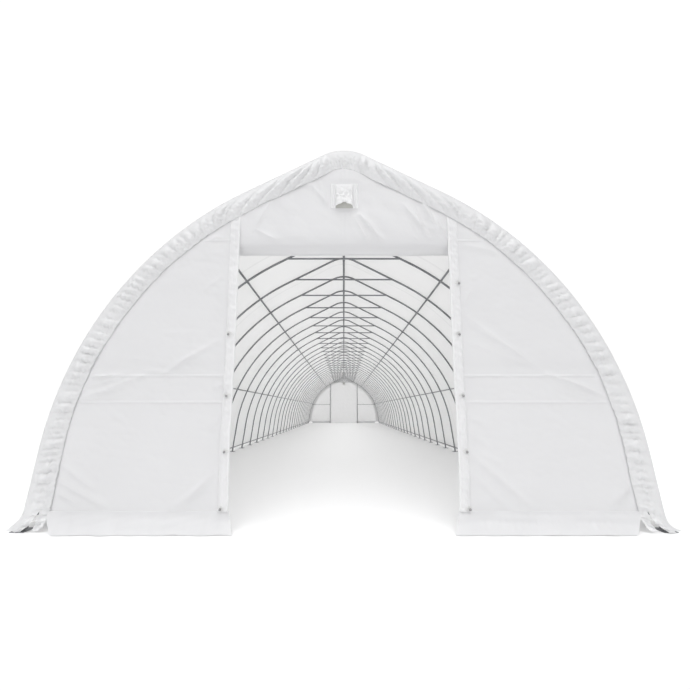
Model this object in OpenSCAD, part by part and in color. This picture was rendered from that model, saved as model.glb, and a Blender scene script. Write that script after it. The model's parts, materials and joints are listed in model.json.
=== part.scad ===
// Fabric hangar: a long gothic-arch storage hall of steel tube arches under a
// tensioned white PVC cover, with a roll-up curtain door in each gable.
// +Z up, the open front faces -Y, the origin is on the ground at the middle.

/* [Arch frame] */
// Width over the arch tubes at the ground
hall_w = 9280; // [9000:10:9450]
// Angle of the straight legs above the ground
leg_angle = 82.5; // [80:0.5:84]
// Slope of the straight rafters
rafter_angle = 27.5; // [26:0.5:30]
// Height where the straight legs run into the shoulder bends
leg_h = 1090; // [950:10:1300]
// Radius of the shoulder bends, along the tube's centre line
bend_r = 5450; // [5250:10:5550]
// Radius of the ridge bend, along the tube's centre line
ridge_r = 700; // [550:10:900]
// Diameter of the arch tubes
arch_d = 48; // [42:1:60]
// Distance between arches
bay = 1300; // [1200:10:1310]
// Number of bays between the first and the last arch
bays = 30; // [18:3:30]

/* [Ties and purlins] */
// Depth of the collar ties below the top of the arches
tie_drop = 643; // [560:1:760]
// Diameter of the collar ties
tie_d = 42; // [32:1:48]
// Diameter of the ridge purlin
ridge_purlin_d = 60; // [48:1:70]
// Diameter of the upper purlins
upper_purlin_d = 48; // [38:1:54]
// Diameter of the lower purlins and of the rails
purlin_d = 38; // [30:1:42]
// Place of the upper purlins on the shoulder bend, from the vertical
upper_purlin_angle = 36.5; // [34:0.5:40]
// Place of the lower purlins on the shoulder bend, from the vertical
lower_purlin_angle = 67; // [62:0.5:72]
// Height of the rail that ties the feet together
ground_rail_z = 190; // [180:5:300]

/* [Feet] */
// Side of the square base plates
plate_w = 200; // [160:5:260]
// Thickness of the base plates
plate_t = 8; // [6:1:12]
// Height of the sockets that hold the legs
socket_h = 130; // [90:5:150]
// Wall of the sockets
socket_wall = 5; // [3:0.5:8]
// Diameter of the anchor holes
anchor_d = 18; // [14:1:22]
// Distance between the two anchor holes of a plate
anchor_pitch = 150; // [120:5:155]

/* [Gable frames] */
// Half of the clear width of the doorway between the fabric edges
door_half = 1655; // [1500:5:1690]
// Diameter of the door posts
post_d = 48; // [42:1:60]
// Half of the width of the feet of the door posts
post_plate_half = 60; // [45:5:60]
// Depth of the gable rails below the lower purlins
gable_rail_drop = 90; // [70:5:200]

/* [Cover] */
// Thickness of the roof cover
cover_t = 4; // [3:0.5:6]
// Height where the cover spreads into the side skirts
side_skirt_h = 400; // [350:10:600]
// How far the side skirts reach out on the ground
side_skirt_out = 260; // [200:10:420]
// Width of the gathered hem band that turns down over each gable
band_w = 355; // [220:5:380]
// Thickness of the hem band
band_t = 5; // [4:0.5:8]
// Number of sheets that the cover is made of along the hall
cover_sheets = 3; // [3:3]

/* [Gable walls] */
// Thickness of the gable walls and door curtains
wall_t = 3; // [3:0.5:5]
// Height of the skirts of the gable walls
gable_skirt_h = 270; // [200:10:350]
// How far the gable skirts reach out on the ground
gable_skirt_out = 200; // [120:10:230]
// How far a gable skirt's corner reaches into the doorway on the ground
gable_skirt_in = 120; // [60:5:140]
// Distance from the middle to the outer ends of the gable skirts
gable_skirt_end = 4400; // [4200:10:4450]
// Width of the hems along the doorway
door_hem_w = 155; // [120:5:180]
// Thickness of the hems along the doorway
door_hem_t = 8; // [5:0.5:10]

/* [Front door] */
// Height of the middle of the rolled-up curtain
roll_z = 4355; // [4250:5:4400]
// Diameter of the rolled-up curtain
roll_d = 280; // [220:5:300]
// Gap between the ends of the roll and the door posts
roll_end_gap = 18; // [10:1:40]
// Diameter of the tube inside the roll
roll_tube_d = 42; // [30:1:50]

/* [Vents] */
// Depth of the vent hoods below the outside of the ridge
vent_drop = 587; // [560:1:650]
// Height of the vent hoods
vent_h = 445; // [400:5:450]
// Width of the vent hoods with their side flanges
vent_w = 410; // [360:5:440]
// Width of each side flange
vent_flange = 58; // [45:1:70]
// How far the lower edge of a hood stands out
vent_out = 120; // [80:5:160]
// Thickness of the hood's fabric
vent_t = 4; // [3:0.5:6]
// Width and height of the hole in the fabric behind a hood
vent_hole = 230; // [180:5:250]

/* [Hidden] */

// clearances
seat = 0.3;        // gap between pieces that rest on each other
cover_seat = 0.5;  // gap between the arches and the cover
slit = 0.5;        // gap between neighbouring strips of one sheet
far = 20000;       // longer than anything that it cuts
step_a = 2;        // step of the arc in a gable's outline, in degrees

// the arch's centre line: leg, shoulder bend, rafter, ridge bend
arch_r = arch_d / 2;
foot_x = hall_w / 2 - arch_r / sin(leg_angle);
leg_top = [foot_x - leg_h / tan(leg_angle), leg_h];
bend_c = leg_top - bend_r * [sin(leg_angle), cos(leg_angle)];
rafter_foot = bend_c + bend_r * [sin(rafter_angle), cos(rafter_angle)];
ridge_peak = rafter_foot[1] + rafter_foot[0] * tan(rafter_angle);
ridge_c = [0, ridge_peak - ridge_r / cos(rafter_angle)];
rafter_top = ridge_c + ridge_r * [sin(rafter_angle), cos(rafter_angle)];
bow_turn = (leg_angle - rafter_angle) / 3;
shoulder_strips = 5;
strip_turn = (leg_angle - rafter_angle) / shoulder_strips;

// places along the hall
end_y = bays * bay / 2;
wall_back = arch_r + cover_seat;
wall_front = wall_back + wall_t;
band_back = wall_front + seat;
band_front = band_back + band_t;
sheet_len = 2 * (end_y + band_front) / cover_sheets;

// offsets from the arch's centre line, outwards positive
cover_in = arch_r + cover_seat;
cover_out = cover_in + cover_t;
frame_in = -(arch_r + seat);
wall_edge = arch_r - 2;
band_out = cover_in - seat;
band_in = band_out - band_w;

tie_z = ridge_c[1] + ridge_r + arch_r - tie_drop;
lower_purlin_at = on_bend(lower_purlin_angle, below_arch(purlin_d));
gable_rail_z = lower_purlin_at[1] - gable_rail_drop;
post_x = door_half + 125;
post_set = socket_wall + seat;  // how far the posts stand inside the plane of the end arches
curtain_half = door_half + 85;
wall_gap = 20;
roll_half = post_x - post_d / 2 - roll_end_gap;
bar_half = post_x - post_plate_half - 10;
vent_z = ridge_c[1] + ridge_r + cover_out - vent_drop - vent_h;
vent_hole_z = vent_z + (vent_h - vent_hole) / 2;

// a point on the shoulder bend, seen from its centre: angle from the vertical
function on_bend(a, off) = bend_c + (bend_r + off) * [sin(a), cos(a)];
function below_arch(d) = -(arch_r + d / 2 + seat);
function on_leg(z, off) = [foot_x + off / sin(leg_angle) - z / tan(leg_angle), z];

// the right half of the hall's section, from the ground to the ridge
function half_outline(off) = concat(
    [on_leg(0, off)],
    [for (a = [leg_angle : -step_a : rafter_angle + 0.01]) on_bend(a, off)],
    [on_bend(rafter_angle, off)],
    [for (a = [rafter_angle : -step_a : 0.01]) ridge_c + (ridge_r + off) * [sin(a), cos(a)]],
    [ridge_c + [0, ridge_r + off]]
);

// colours
steel = [0.62, 0.63, 0.64];
fabric = [0.93, 0.93, 0.94];
hem_white = [0.97, 0.97, 0.97];

// --- helpers -------------------------------------------------------------

// a drawing in X and Z, made solid from y0 to y1
module slab(y0, y1) {
    translate([0, y1, 0]) rotate([90, 0, 0]) linear_extrude(y1 - y0) children();
}

// the whole section of the hall, shrunk or grown by off
module gable(off) {
    half = half_outline(off);
    n = len(half);
    left = [for (i = [n - 2 : -1 : 0]) [-half[i][0], half[i][1]]];
    polygon(concat(half, left));
}

// a rod between two points
module rod(p, q, d) {
    v = q - p;
    len_v = norm(v);
    translate(p) rotate([0, acos(v[2] / len_v), atan2(v[1], v[0])]) cylinder(h = len_v, d = d, $fn = 48);
}

// a rod along Y at a point of the section
module long_rod(at, d, y0, y1) {
    rod([at[0], y0, at[1]], [at[0], y1, at[1]], d);
}

// a bent tube about a centre in the section, between two angles from the vertical
module bent_tube(c, r, a0, a1, d) {
    translate([c[0], 0, c[1]]) rotate([90, 0, 0]) rotate([0, 0, 90 - a1])
        rotate_extrude(angle = a1 - a0, $fn = 96) translate([r, 0]) circle(d = d, $fn = 48);
}

// a curved strip of sheet about a centre in the section
module bent_sheet(c, r0, r1, a0, a1, y0, y1) {
    slit_a = slit / r1 * 180 / PI / 2;
    translate([c[0], y1, c[1]]) rotate([90, 0, 0]) rotate([0, 0, 90 - a1 + slit_a])
        rotate_extrude(angle = a1 - a0 - 2 * slit_a, $fn = 180)
            translate([r0, 0]) square([r1 - r0, y1 - y0]);
}

// a straight strip of sheet along a line of the section, from p to q, between two offsets
module flat_sheet(p, q, off0, off1, y0, y1) {
    t = (q - p) / norm(q - p);
    n = [t[1], -t[0]];
    a = p + t * slit / 2;
    b = q - t * slit / 2;
    slab(y0, y1) polygon([a + n * off0, b + n * off0, b + n * off1, a + n * off1]);
}

// one sheet that follows the arch, in strips: off0 and off1 are offsets of its two faces
module arch_sheet(off0, off1, y0, y1, foot_z) {
    for (side = [0, 1]) mirror([side, 0, 0]) {
        flat_sheet(on_leg(foot_z, 0), leg_top, off0, off1, y0, y1);
        for (i = [0 : shoulder_strips - 1])
            bent_sheet(bend_c, bend_r + off0, bend_r + off1,
                rafter_angle + i * strip_turn, rafter_angle + (i + 1) * strip_turn, y0, y1);
        flat_sheet(rafter_foot, rafter_top, off0, off1, y0, y1);
        bent_sheet(ridge_c, ridge_r + off0, ridge_r + off1, 0, rafter_angle, y0, y1);
    }
}

// repeats its children at every arch, on both sides of the hall
module every_arch() {
    for (i = [0 : bays]) translate([0, i * bay - end_y, 0]) children();
}
module both_sides() {
    for (side = [0, 1]) mirror([side, 0, 0]) children();
}
module at_rear() {
    mirror([0, 1, 0]) children();
}

// --- arch frame ----------------------------------------------------------

// one foot: a plate with two anchor holes and a socket for a tube
module foot(x, lean, tube_d, w) {
    bore_d = tube_d + 2 * seat;
    top = [x - socket_h / tan(lean), 0, socket_h];
    difference() {
        union() {
            translate([x - w / 2, -plate_w / 2, 0]) cube([w, plate_w, plate_t]);
            intersection() {
                rod([x, 0, 0], top, bore_d + 2 * socket_wall);
                translate([x - w, -plate_w, plate_t / 2]) cube([2 * w, 2 * plate_w, socket_h]);
            }
        }
        difference() {
            rod([x + plate_t / tan(lean), 0, -plate_t], top + (top - [x, 0, 0]), bore_d);
            translate([x - w, -plate_w, -2 * plate_t]) cube([2 * w, 2 * plate_w, 3 * plate_t]);
        }
        for (s = [-1, 1])
            translate([x, s * anchor_pitch / 2, -1]) cylinder(h = plate_t + 2, d = anchor_d, $fn = 32);
    }
}

module base_plates() {
    color(steel) {
        every_arch() both_sides() foot(foot_x, leg_angle, arch_d, plate_w);
        for (s = [-1, 1]) translate([0, s * (end_y - post_set), 0]) both_sides()
            foot(post_x, 90, post_d, 2 * post_plate_half);
    }
}

// straight legs, standing in their sockets
module legs() {
    low = plate_t + seat;
    foot_low = [on_leg(-low, 0)[0], 0, -low];
    stop = leg_top + [cos(leg_angle), -sin(leg_angle)] * seat / 2;
    color(steel) every_arch() both_sides() difference() {
        rod(foot_low, [stop[0], 0, stop[1]], arch_d);
        translate([foot_x - plate_w, -plate_w, -plate_w + low]) cube([2 * plate_w, 2 * plate_w, plate_w]);
    }
}

// one third of the shoulder bends, counted from the rafters
module bows(i) {
    turn_gap = seat / bend_r * 90 / PI;
    a = rafter_angle + i * bow_turn;
    color(steel) every_arch() both_sides()
        bent_tube(bend_c, bend_r, a + turn_gap, a + bow_turn - turn_gap, arch_d);
}

module upper_bows() { bows(0); }
module middle_bows() { bows(1); }
module lower_bows() { bows(2); }

module rafters() {
    u = (rafter_top - rafter_foot) / norm(rafter_top - rafter_foot) * seat / 2;
    p = rafter_foot + u;
    q = rafter_top - u;
    color(steel) every_arch() both_sides() rod([p[0], 0, p[1]], [q[0], 0, q[1]], arch_d);
}

module ridge_bends() {
    turn = rafter_angle - seat / ridge_r * 90 / PI;
    color(steel) every_arch() bent_tube(ridge_c, ridge_r, -turn, turn, arch_d);
}

module collar_ties() {
    color(steel) every_arch() intersection() {
        rod([-far / 4, 0, tie_z], [far / 4, 0, tie_z], tie_d);
        slab(-tie_d, tie_d) gable(frame_in);
    }
}

// --- purlins and rails ---------------------------------------------------

module purlins_at(at, d) {
    color(steel) both_sides() long_rod(at, d, -end_y - arch_r, end_y + arch_r);
}

module ridge_purlin() {
    at = ridge_c + [0, ridge_r + below_arch(ridge_purlin_d)];
    color(steel) long_rod(at, ridge_purlin_d, -end_y - arch_r, end_y + arch_r);
}

module upper_purlins() {
    purlins_at(on_bend(upper_purlin_angle, below_arch(upper_purlin_d)), upper_purlin_d);
}
module lower_purlins() { purlins_at(lower_purlin_at, purlin_d); }
module ground_rails() { purlins_at(on_leg(ground_rail_z, below_arch(purlin_d)), purlin_d); }

// --- gable frames --------------------------------------------------------

module door_posts() {
    color(steel) both_sides() intersection() {
        rod([post_x, post_set, plate_t + seat], [post_x, post_set, far / 2], post_d);
        slab(-post_d, 2 * post_d) gable(frame_in);
    }
}

module gable_rails() {
    color(steel) both_sides() intersection() {
        rod([post_x + post_d / 2 + seat, 0, gable_rail_z], [far / 4, 0, gable_rail_z], purlin_d);
        slab(-purlin_d, purlin_d) gable(frame_in);
    }
}

module front_door_posts() { translate([0, -end_y, 0]) door_posts(); }
module rear_door_posts() { translate([0, end_y, 0]) at_rear() door_posts(); }
module front_gable_rails() { translate([0, -end_y, 0]) gable_rails(); }
module rear_gable_rails() { translate([0, end_y, 0]) gable_rails(); }

// --- roof cover ----------------------------------------------------------

// sheet number i of the cover, counted from the front
module cover_sheet(i) {
    y0 = -end_y - band_front + i * sheet_len;
    color(fabric) arch_sheet(cover_in, cover_out, y0 + slit, y0 + sheet_len - slit, side_skirt_h);
}

module cover_front() { cover_sheet(0); }
module cover_middle() { for (i = [1 : cover_sheets - 2]) cover_sheet(i); }
module cover_rear() { cover_sheet(cover_sheets - 1); }

// the foot of the cover, spread out on the ground along one side
module side_skirt() {
    away = [sin(leg_angle), cos(leg_angle)];
    top = on_leg(side_skirt_h, 0) + [cos(leg_angle), -sin(leg_angle)] * slit / 2;
    out = [foot_x + side_skirt_out, 0];
    color(fabric) for (i = [0 : cover_sheets - 1]) {
        y0 = -end_y - band_front + i * sheet_len;
        slab(y0 + slit, y0 + sheet_len - slit)
            polygon([top + away * cover_out, out + [cover_t, 0], out, top + away * cover_in]);
    }
}

module side_skirt_right() { side_skirt(); }
module side_skirt_left() { mirror([1, 0, 0]) side_skirt(); }

// the cover's end, turned down over a gable wall and gathered by its drawstring
module hem_band() {
    color(fabric) arch_sheet(band_in, band_out, -band_front, -band_back, gable_skirt_h);
}

module front_hem_band() { translate([0, -end_y, 0]) hem_band(); }
module rear_hem_band() { translate([0, end_y, 0]) at_rear() hem_band(); }

// --- gable walls ---------------------------------------------------------

module side_wall() {
    color(fabric) slab(-wall_front, -wall_back) intersection() {
        gable(wall_edge);
        translate([curtain_half + wall_gap, gable_skirt_h]) square([far / 4, far / 2]);
    }
}

// the reinforced fabric edges on both sides of the doorway
module door_hems() {
    color(hem_white) both_sides() slab(-band_back - door_hem_t, -band_back) intersection() {
        gable(band_in - seat);
        translate([door_half, gable_skirt_h]) square([door_hem_w, far / 2]);
    }
}

// the foot of the gable wall, spread out on the ground
module gable_skirts() {
    t = wall_t;
    low_x = door_half - gable_skirt_in;
    color(fabric) both_sides() intersection() {
        translate([low_x, 0, 0]) rotate([90, 0, 90]) linear_extrude(gable_skirt_end - low_x) polygon([
            [-band_back - t, gable_skirt_h - seat],
            [-band_back, gable_skirt_h - seat],
            [-band_back - gable_skirt_out, 0],
            [-band_back - gable_skirt_out - 2 * t, 0]
        ]);
        slab(-2 * bay, 0) polygon([
            [low_x, -1], [gable_skirt_end + 1, -1],
            [gable_skirt_end + 1, gable_skirt_h], [door_half, gable_skirt_h], [low_x, 0]
        ]);
    }
}

// the door curtain from a lower edge to the ridge, with the hole of the vent
module curtain(low_z) {
    color(fabric) slab(-wall_front, -wall_back) difference() {
        intersection() {
            gable(wall_edge);
            translate([-curtain_half, low_z]) square([2 * curtain_half, far / 2]);
        }
        translate([-vent_hole / 2, vent_hole_z]) square(vent_hole);
    }
}

// a hood over the vent: side flanges on the curtain, two cheeks and a sloping front
module vent_hood() {
    half = vent_w / 2 - vent_flange;
    y_flat = -wall_front - seat;
    color(hem_white) union() {
        for (s = [-1, 1]) {
            translate([s * (half + vent_flange / 2) - vent_flange / 2, y_flat - vent_t, vent_z])
                cube([vent_flange, vent_t, vent_h]);
            translate([s * (half + vent_t / 2) - vent_t / 2, 0, 0]) rotate([90, 0, 90])
                linear_extrude(vent_t) polygon([
                    [y_flat, vent_z], [y_flat, vent_z + vent_h],
                    [y_flat - 2 * vent_t, vent_z + vent_h], [y_flat - vent_out, vent_z]
                ]);
        }
        translate([-half - vent_t, 0, 0]) rotate([90, 0, 90]) linear_extrude(2 * (half + vent_t)) polygon([
            [y_flat, vent_z + vent_h - vent_t], [y_flat, vent_z + vent_h],
            [y_flat - 2 * vent_t, vent_z + vent_h], [y_flat - vent_out, vent_z],
            [y_flat - vent_out + vent_t, vent_z], [y_flat - vent_t, vent_z + vent_h - vent_t]
        ]);
    }
}

module front_wall_right() { translate([0, -end_y, 0]) side_wall(); }
module front_wall_left() { translate([0, -end_y, 0]) mirror([1, 0, 0]) side_wall(); }
module front_door_hems() { translate([0, -end_y, 0]) door_hems(); }
module front_skirts() { translate([0, -end_y, 0]) gable_skirts(); }
module front_curtain() { translate([0, -end_y, 0]) curtain(roll_z); }
module front_vent_hood() { translate([0, -end_y, 0]) vent_hood(); }

roll_at = [-end_y - wall_back + seat + roll_d / 2, roll_z];

module front_curtain_roll() {
    color(fabric) difference() {
        rod([-roll_half, roll_at[0], roll_at[1]], [roll_half, roll_at[0], roll_at[1]], roll_d);
        rod([-far, roll_at[0], roll_at[1]], [far, roll_at[0], roll_at[1]], roll_tube_d + 2 * seat);
    }
}

module front_roll_tube() {
    end = roll_half + roll_end_gap / 2;
    color(steel) rod([-end, roll_at[0], roll_at[1]], [end, roll_at[0], roll_at[1]], roll_tube_d);
}

module rear_wall_right() { translate([0, end_y, 0]) at_rear() side_wall(); }
module rear_wall_left() { translate([0, end_y, 0]) at_rear() mirror([1, 0, 0]) side_wall(); }
module rear_door_hems() { translate([0, end_y, 0]) at_rear() door_hems(); }
module rear_skirts() { translate([0, end_y, 0]) at_rear() gable_skirts(); }
module rear_curtain() { translate([0, end_y, 0]) at_rear() curtain(purlin_d + seat); }
module rear_vent_hood() { translate([0, end_y, 0]) at_rear() vent_hood(); }

// the weighted tube in the lower hem of the closed curtain
module rear_curtain_bar() {
    y = end_y + wall_back + wall_t / 2;
    color(hem_white) rod([-bar_half, y, purlin_d / 2], [bar_half, y, purlin_d / 2], purlin_d);
}

base_plates();
legs();
lower_bows();
middle_bows();
upper_bows();
rafters();
ridge_bends();
collar_ties();
ridge_purlin();
upper_purlins();
lower_purlins();
ground_rails();
front_door_posts();
front_gable_rails();
rear_door_posts();
rear_gable_rails();
cover_front();
cover_middle();
cover_rear();
side_skirt_left();
side_skirt_right();
front_hem_band();
rear_hem_band();
front_wall_left();
front_wall_right();
front_door_hems();
front_skirts();
front_curtain();
front_curtain_roll();
front_roll_tube();
front_vent_hood();
rear_wall_left();
rear_wall_right();
rear_door_hems();
rear_skirts();
rear_curtain();
rear_curtain_bar();
rear_vent_hood();
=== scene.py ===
"""Dresses the fabric hangar: white coated sheets over a frame of galvanised tube arches.

Everything is in metres in the frame of the construction model: +X to the right seen from the
open gable, +Y along the hall to its rear, +Z up, the origin on the ground in the middle. The
parts of a gable are worked out for the right side of the front gable and mirrored from there.
"""

import json  # noqa: E402
import logging  # noqa: E402
import math  # noqa: E402
from dataclasses import dataclass, field, replace  # noqa: E402
from enum import Enum  # noqa: E402

import bpy  # noqa: E402
import numpy as np  # noqa: E402
from bpy.types import Material, Node, NodeSocket, NodeTree, Object  # noqa: E402
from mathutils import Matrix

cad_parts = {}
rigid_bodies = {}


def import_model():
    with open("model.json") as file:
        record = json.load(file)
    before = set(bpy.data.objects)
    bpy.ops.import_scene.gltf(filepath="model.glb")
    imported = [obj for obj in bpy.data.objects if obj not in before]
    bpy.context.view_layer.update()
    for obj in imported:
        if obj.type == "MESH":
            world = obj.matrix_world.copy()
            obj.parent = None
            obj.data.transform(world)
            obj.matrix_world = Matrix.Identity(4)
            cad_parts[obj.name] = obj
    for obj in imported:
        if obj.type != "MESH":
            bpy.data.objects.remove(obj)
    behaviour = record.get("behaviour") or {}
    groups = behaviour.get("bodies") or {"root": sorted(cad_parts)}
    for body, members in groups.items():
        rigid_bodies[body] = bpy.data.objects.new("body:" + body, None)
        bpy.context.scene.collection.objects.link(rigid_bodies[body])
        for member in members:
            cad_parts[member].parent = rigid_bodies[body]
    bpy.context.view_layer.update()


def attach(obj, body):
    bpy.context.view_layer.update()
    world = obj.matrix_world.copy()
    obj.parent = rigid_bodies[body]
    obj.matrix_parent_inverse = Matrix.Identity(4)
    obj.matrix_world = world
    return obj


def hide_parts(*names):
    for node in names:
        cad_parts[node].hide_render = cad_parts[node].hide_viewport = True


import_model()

Array = np.ndarray
Pair = tuple[float, float]

LOG = logging.getLogger("hangar")

END_Y = 19.5  # the plane of the end arches
BAY = 1.3  # distance between arches
ARCHES = 31
ARCH_Y = (np.arange(ARCHES) - (ARCHES - 1) / 2) * BAY  # places of the arches along the hall
TUBE_R = 0.024
GROUND_LIFT = 0.002  # of cloth that lies on the ground
WALL_Y = END_Y + 0.0265  # outer face of the gable cloth
WALL_OFF = 0.019  # the gable cloth's outline, this far outside the arch's centre line
POST_X, POST_Y = 1.78, END_Y - 0.0053  # middle of a door post
ROLL_Z = 4.355  # height of the rolled-up curtain's core
UPRIGHT = math.pi / 2  # heading of waves that follow each other along v
UV_NAME = "UVMap"


class End(Enum):
    """The two gables; the value turns a front gable's Y into this gable's."""

    FRONT = 1.0
    REAR = -1.0


class Side(Enum):
    """The two sides of the hall, seen from the front; the value turns the right side's X into this side's."""

    LEFT = -1.0
    RIGHT = 1.0


class Slot(Enum):
    """The record's material slots."""

    COVER = "cover_fabric"
    HEM = "hem_fabric"
    STEEL = "frame_steel"


# --- shapes ---


@dataclass
class Shape:
    """A mesh in arrays: vertices, four- and three-cornered faces, and flat cloth coordinates."""

    verts: Array
    quads: Array
    tris: Array
    uv: Array

    def moved(self, offset: Array) -> "Shape":
        """The same shape moved by an offset (x, y, z)."""
        return Shape(self.verts + np.asarray(offset), self.quads, self.tris, self.uv)

    def turned(self, matrix: Array) -> "Shape":
        """The same shape under a 3 x 3 matrix; a mirroring matrix also turns the faces round."""
        order = -1 if np.linalg.det(matrix) < 0 else 1
        return Shape(self.verts @ matrix.T, self.quads[:, ::order], self.tris[:, ::order], self.uv)

    def repeated(self, places: Array, frames: Array | None = None) -> "Shape":
        """Copies of the shape at many places.

        Args:
            places: one (x, y, z) per copy.
            frames: one 3 x 3 matrix per copy, whose columns are the copy's own axes.

        Returns:
            One shape that holds all the copies.
        """
        n, k = len(places), len(self.verts)
        verts = np.broadcast_to(self.verts, (n, k, 3))
        if frames is not None:
            verts = np.einsum("nij,nkj->nki", frames, verts)
        verts = (verts + places[:, None, :]).reshape(-1, 3)
        step = (np.arange(n) * k)[:, None, None]
        quads = (self.quads[None] + step).reshape(-1, 4)
        tris = (self.tris[None] + step).reshape(-1, 3)
        return Shape(verts, quads, tris, np.tile(self.uv, (n, 1)))


def joined(shapes: list[Shape]) -> Shape:
    """Several shapes as one; the vertex numbers in each one's faces are raised by the vertices before it."""
    starts = np.cumsum([0] + [len(s.verts) for s in shapes])
    quads, tris = ([getattr(s, key) + k for s, k in zip(shapes, starts)] for key in ("quads", "tris"))
    return Shape(*map(np.concatenate, ([s.verts for s in shapes], quads, tris, [s.uv for s in shapes])))


def grid(points: Array, uv: Array, round_u: bool = False, round_v: bool = False) -> Shape:
    """A surface through a grid of points; neighbouring points share a four-cornered face.

    Args:
        points: (rows, columns, 3).
        uv: (rows, columns, 2) cloth coordinates in metres.
        round_u: joins the last row to the first.
        round_v: joins the last column to the first.

    Returns:
        The surface; it faces along rows x columns.
    """
    rows, cols = points.shape[:2]
    i = np.arange(rows if round_u else rows - 1)[:, None]
    j = np.arange(cols if round_v else cols - 1)[None, :]
    i2, j2 = (i + 1) % rows, (j + 1) % cols
    quads = np.stack([i * cols + j, i2 * cols + j, i2 * cols + j2, i * cols + j2], -1).reshape(-1, 4)
    return Shape(points.reshape(-1, 3), quads, np.zeros((0, 3), int), uv.reshape(-1, 2))


def stacked(*parts: Array) -> Array:
    """Coordinates side by side in a last axis, each broadcast to the grid's size."""
    return np.stack(np.broadcast_arrays(*parts), -1)


def run_length(points: Array) -> Array:
    """Distance along a row of points from its first, in straight lines."""
    return np.concatenate([[0], np.cumsum(np.linalg.norm(np.diff(points, axis=0), axis=1))])


def bezier(t: Array, points: Array) -> Array:
    """A cubic curve at the places t: the four points weighted with the terms of (1 - t + t) cubed."""
    weights = np.stack([(1 - t) ** 3, 3 * t * (1 - t) ** 2, 3 * t * t * (1 - t), t**3], -1)
    return weights @ points


def capped(skin: Shape, poles: Array, sides: int) -> Shape:
    """Closes a skin of rings with a fan of triangles at both ends.

    Args:
        skin: rings of as many corners each, one after the other.
        poles: the middle points of the first and the last ring's fans.
        sides: corners of a ring.

    Returns:
        The closed skin.
    """
    n = len(skin.verts)
    k = np.arange(sides)
    k2 = (k + 1) % sides
    last = n - sides
    tris = np.concatenate([
        np.stack([np.full(sides, n), k, k2], 1),
        np.stack([np.full(sides, n + 1), last + k2, last + k], 1),
    ])
    uv = np.concatenate([skin.uv, skin.uv[[0, -1]]])
    return Shape(np.concatenate([skin.verts, poles]), skin.quads, tris, uv)


def tube(path: Array, radius: float | Array, sides: int = 10, ref: tuple = (0, 1, 0),
         closed: bool = False) -> Shape:
    """A round rod along a path: each point of the path carries a circle square to the path.

    Args:
        path: (n, 3) points.
        radius: one radius, or one for each point.
        sides: corners of the circle.
        ref: a direction that the path never follows; it fixes the circles' starting points.
        closed: the path's end joins its start; otherwise the ends get flat caps.

    Returns:
        The closed skin of the rod.
    """
    path = np.asarray(path, float)
    t = np.roll(path, -1, 0) - np.roll(path, 1, 0) if closed else np.gradient(path, axis=0)
    t /= np.linalg.norm(t, axis=1, keepdims=True)
    a = np.cross(t, np.asarray(ref, float))
    a /= np.linalg.norm(a, axis=1, keepdims=True)
    b = np.cross(a, t)
    turn = np.linspace(0, 2 * math.pi, sides, endpoint=False)
    r = np.broadcast_to(np.asarray(radius, float), (len(path),))[:, None, None]
    ring = np.cos(turn)[None, :, None] * a[:, None] + np.sin(turn)[None, :, None] * b[:, None]
    points = path[:, None] + r * ring
    uv = stacked(run_length(path)[:, None], turn[None, :] * 0.02)
    skin = grid(points, uv, round_u=closed, round_v=True)
    return skin if closed else capped(skin, path[[0, -1]], sides)


def disc_stack(profile: list[Pair], sides: int = 12, start: float = 0.0) -> Shape:
    """A turned part about +Z: a closed profile of (radius, height) pairs carried round the axis.

    Args:
        profile: pairs from the axis at the bottom to the axis at the top.
        sides: corners of the circle; six with sharp pairs give a nut.
        start: angle of the first corner.

    Returns:
        The part's skin.
    """
    turn = np.linspace(0, 2 * math.pi, sides, endpoint=False) + start
    rz = np.asarray(profile, float)
    radius, height = rz[1:-1, :1], rz[1:-1, 1:]
    points = stacked(radius * np.cos(turn), radius * np.sin(turn), height)
    uv = stacked(np.linspace(0, 1, len(radius))[:, None], np.linspace(0, 1, sides)[None])
    poles = np.array([[0.0, 0.0, rz[0, 1]], [0.0, 0.0, rz[-1, 1]]])
    return capped(grid(points[:, ::-1], uv, round_v=True), poles, sides)


# --- waves and creases in cloth ---


@dataclass(frozen=True)
class Ripple:
    """Soft uneven waves: a sum of sines with seeded directions, lengths and phases.

    The number is added to the piece's seed, so that each of its ripples has a draw of its own.
    """

    number: int
    height: float
    length: float
    spread: float = 0.6
    count: int = 14
    slant: float | None = None
    stray: float = 0.5

    def unit(self, seed: int, u: Array, v: Array | float) -> Array:
        """The waves before they get their height: the sum of the sines over the root of their count.

        Args:
            seed: the piece's seed.
            u: cloth coordinate in metres.
            v: cloth coordinate in metres, square to u.

        Returns:
            The waves, about -1 to 1.
        """
        rng = np.random.default_rng(seed + self.number)
        size = self.length * (1 + self.spread * rng.uniform(-1, 1, self.count))
        if self.slant is None:
            heading = rng.uniform(0, math.pi, self.count)
        else:
            heading = self.slant + self.stray * rng.normal(size=self.count)
        phase = rng.uniform(0, 2 * math.pi, self.count)
        k = 2 * math.pi / size
        out = np.zeros(np.broadcast(u, v).shape)
        for kk, h, p in zip(k, heading, phase):
            out += np.sin(kk * (u * math.cos(h) + v * math.sin(h)) + p)
        return out / math.sqrt(self.count)

    def __call__(self, seed: int, u: Array, v: Array | float = 0.0) -> Array:
        """The waves with their height."""
        return self.height * self.unit(seed, u, v)


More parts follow.
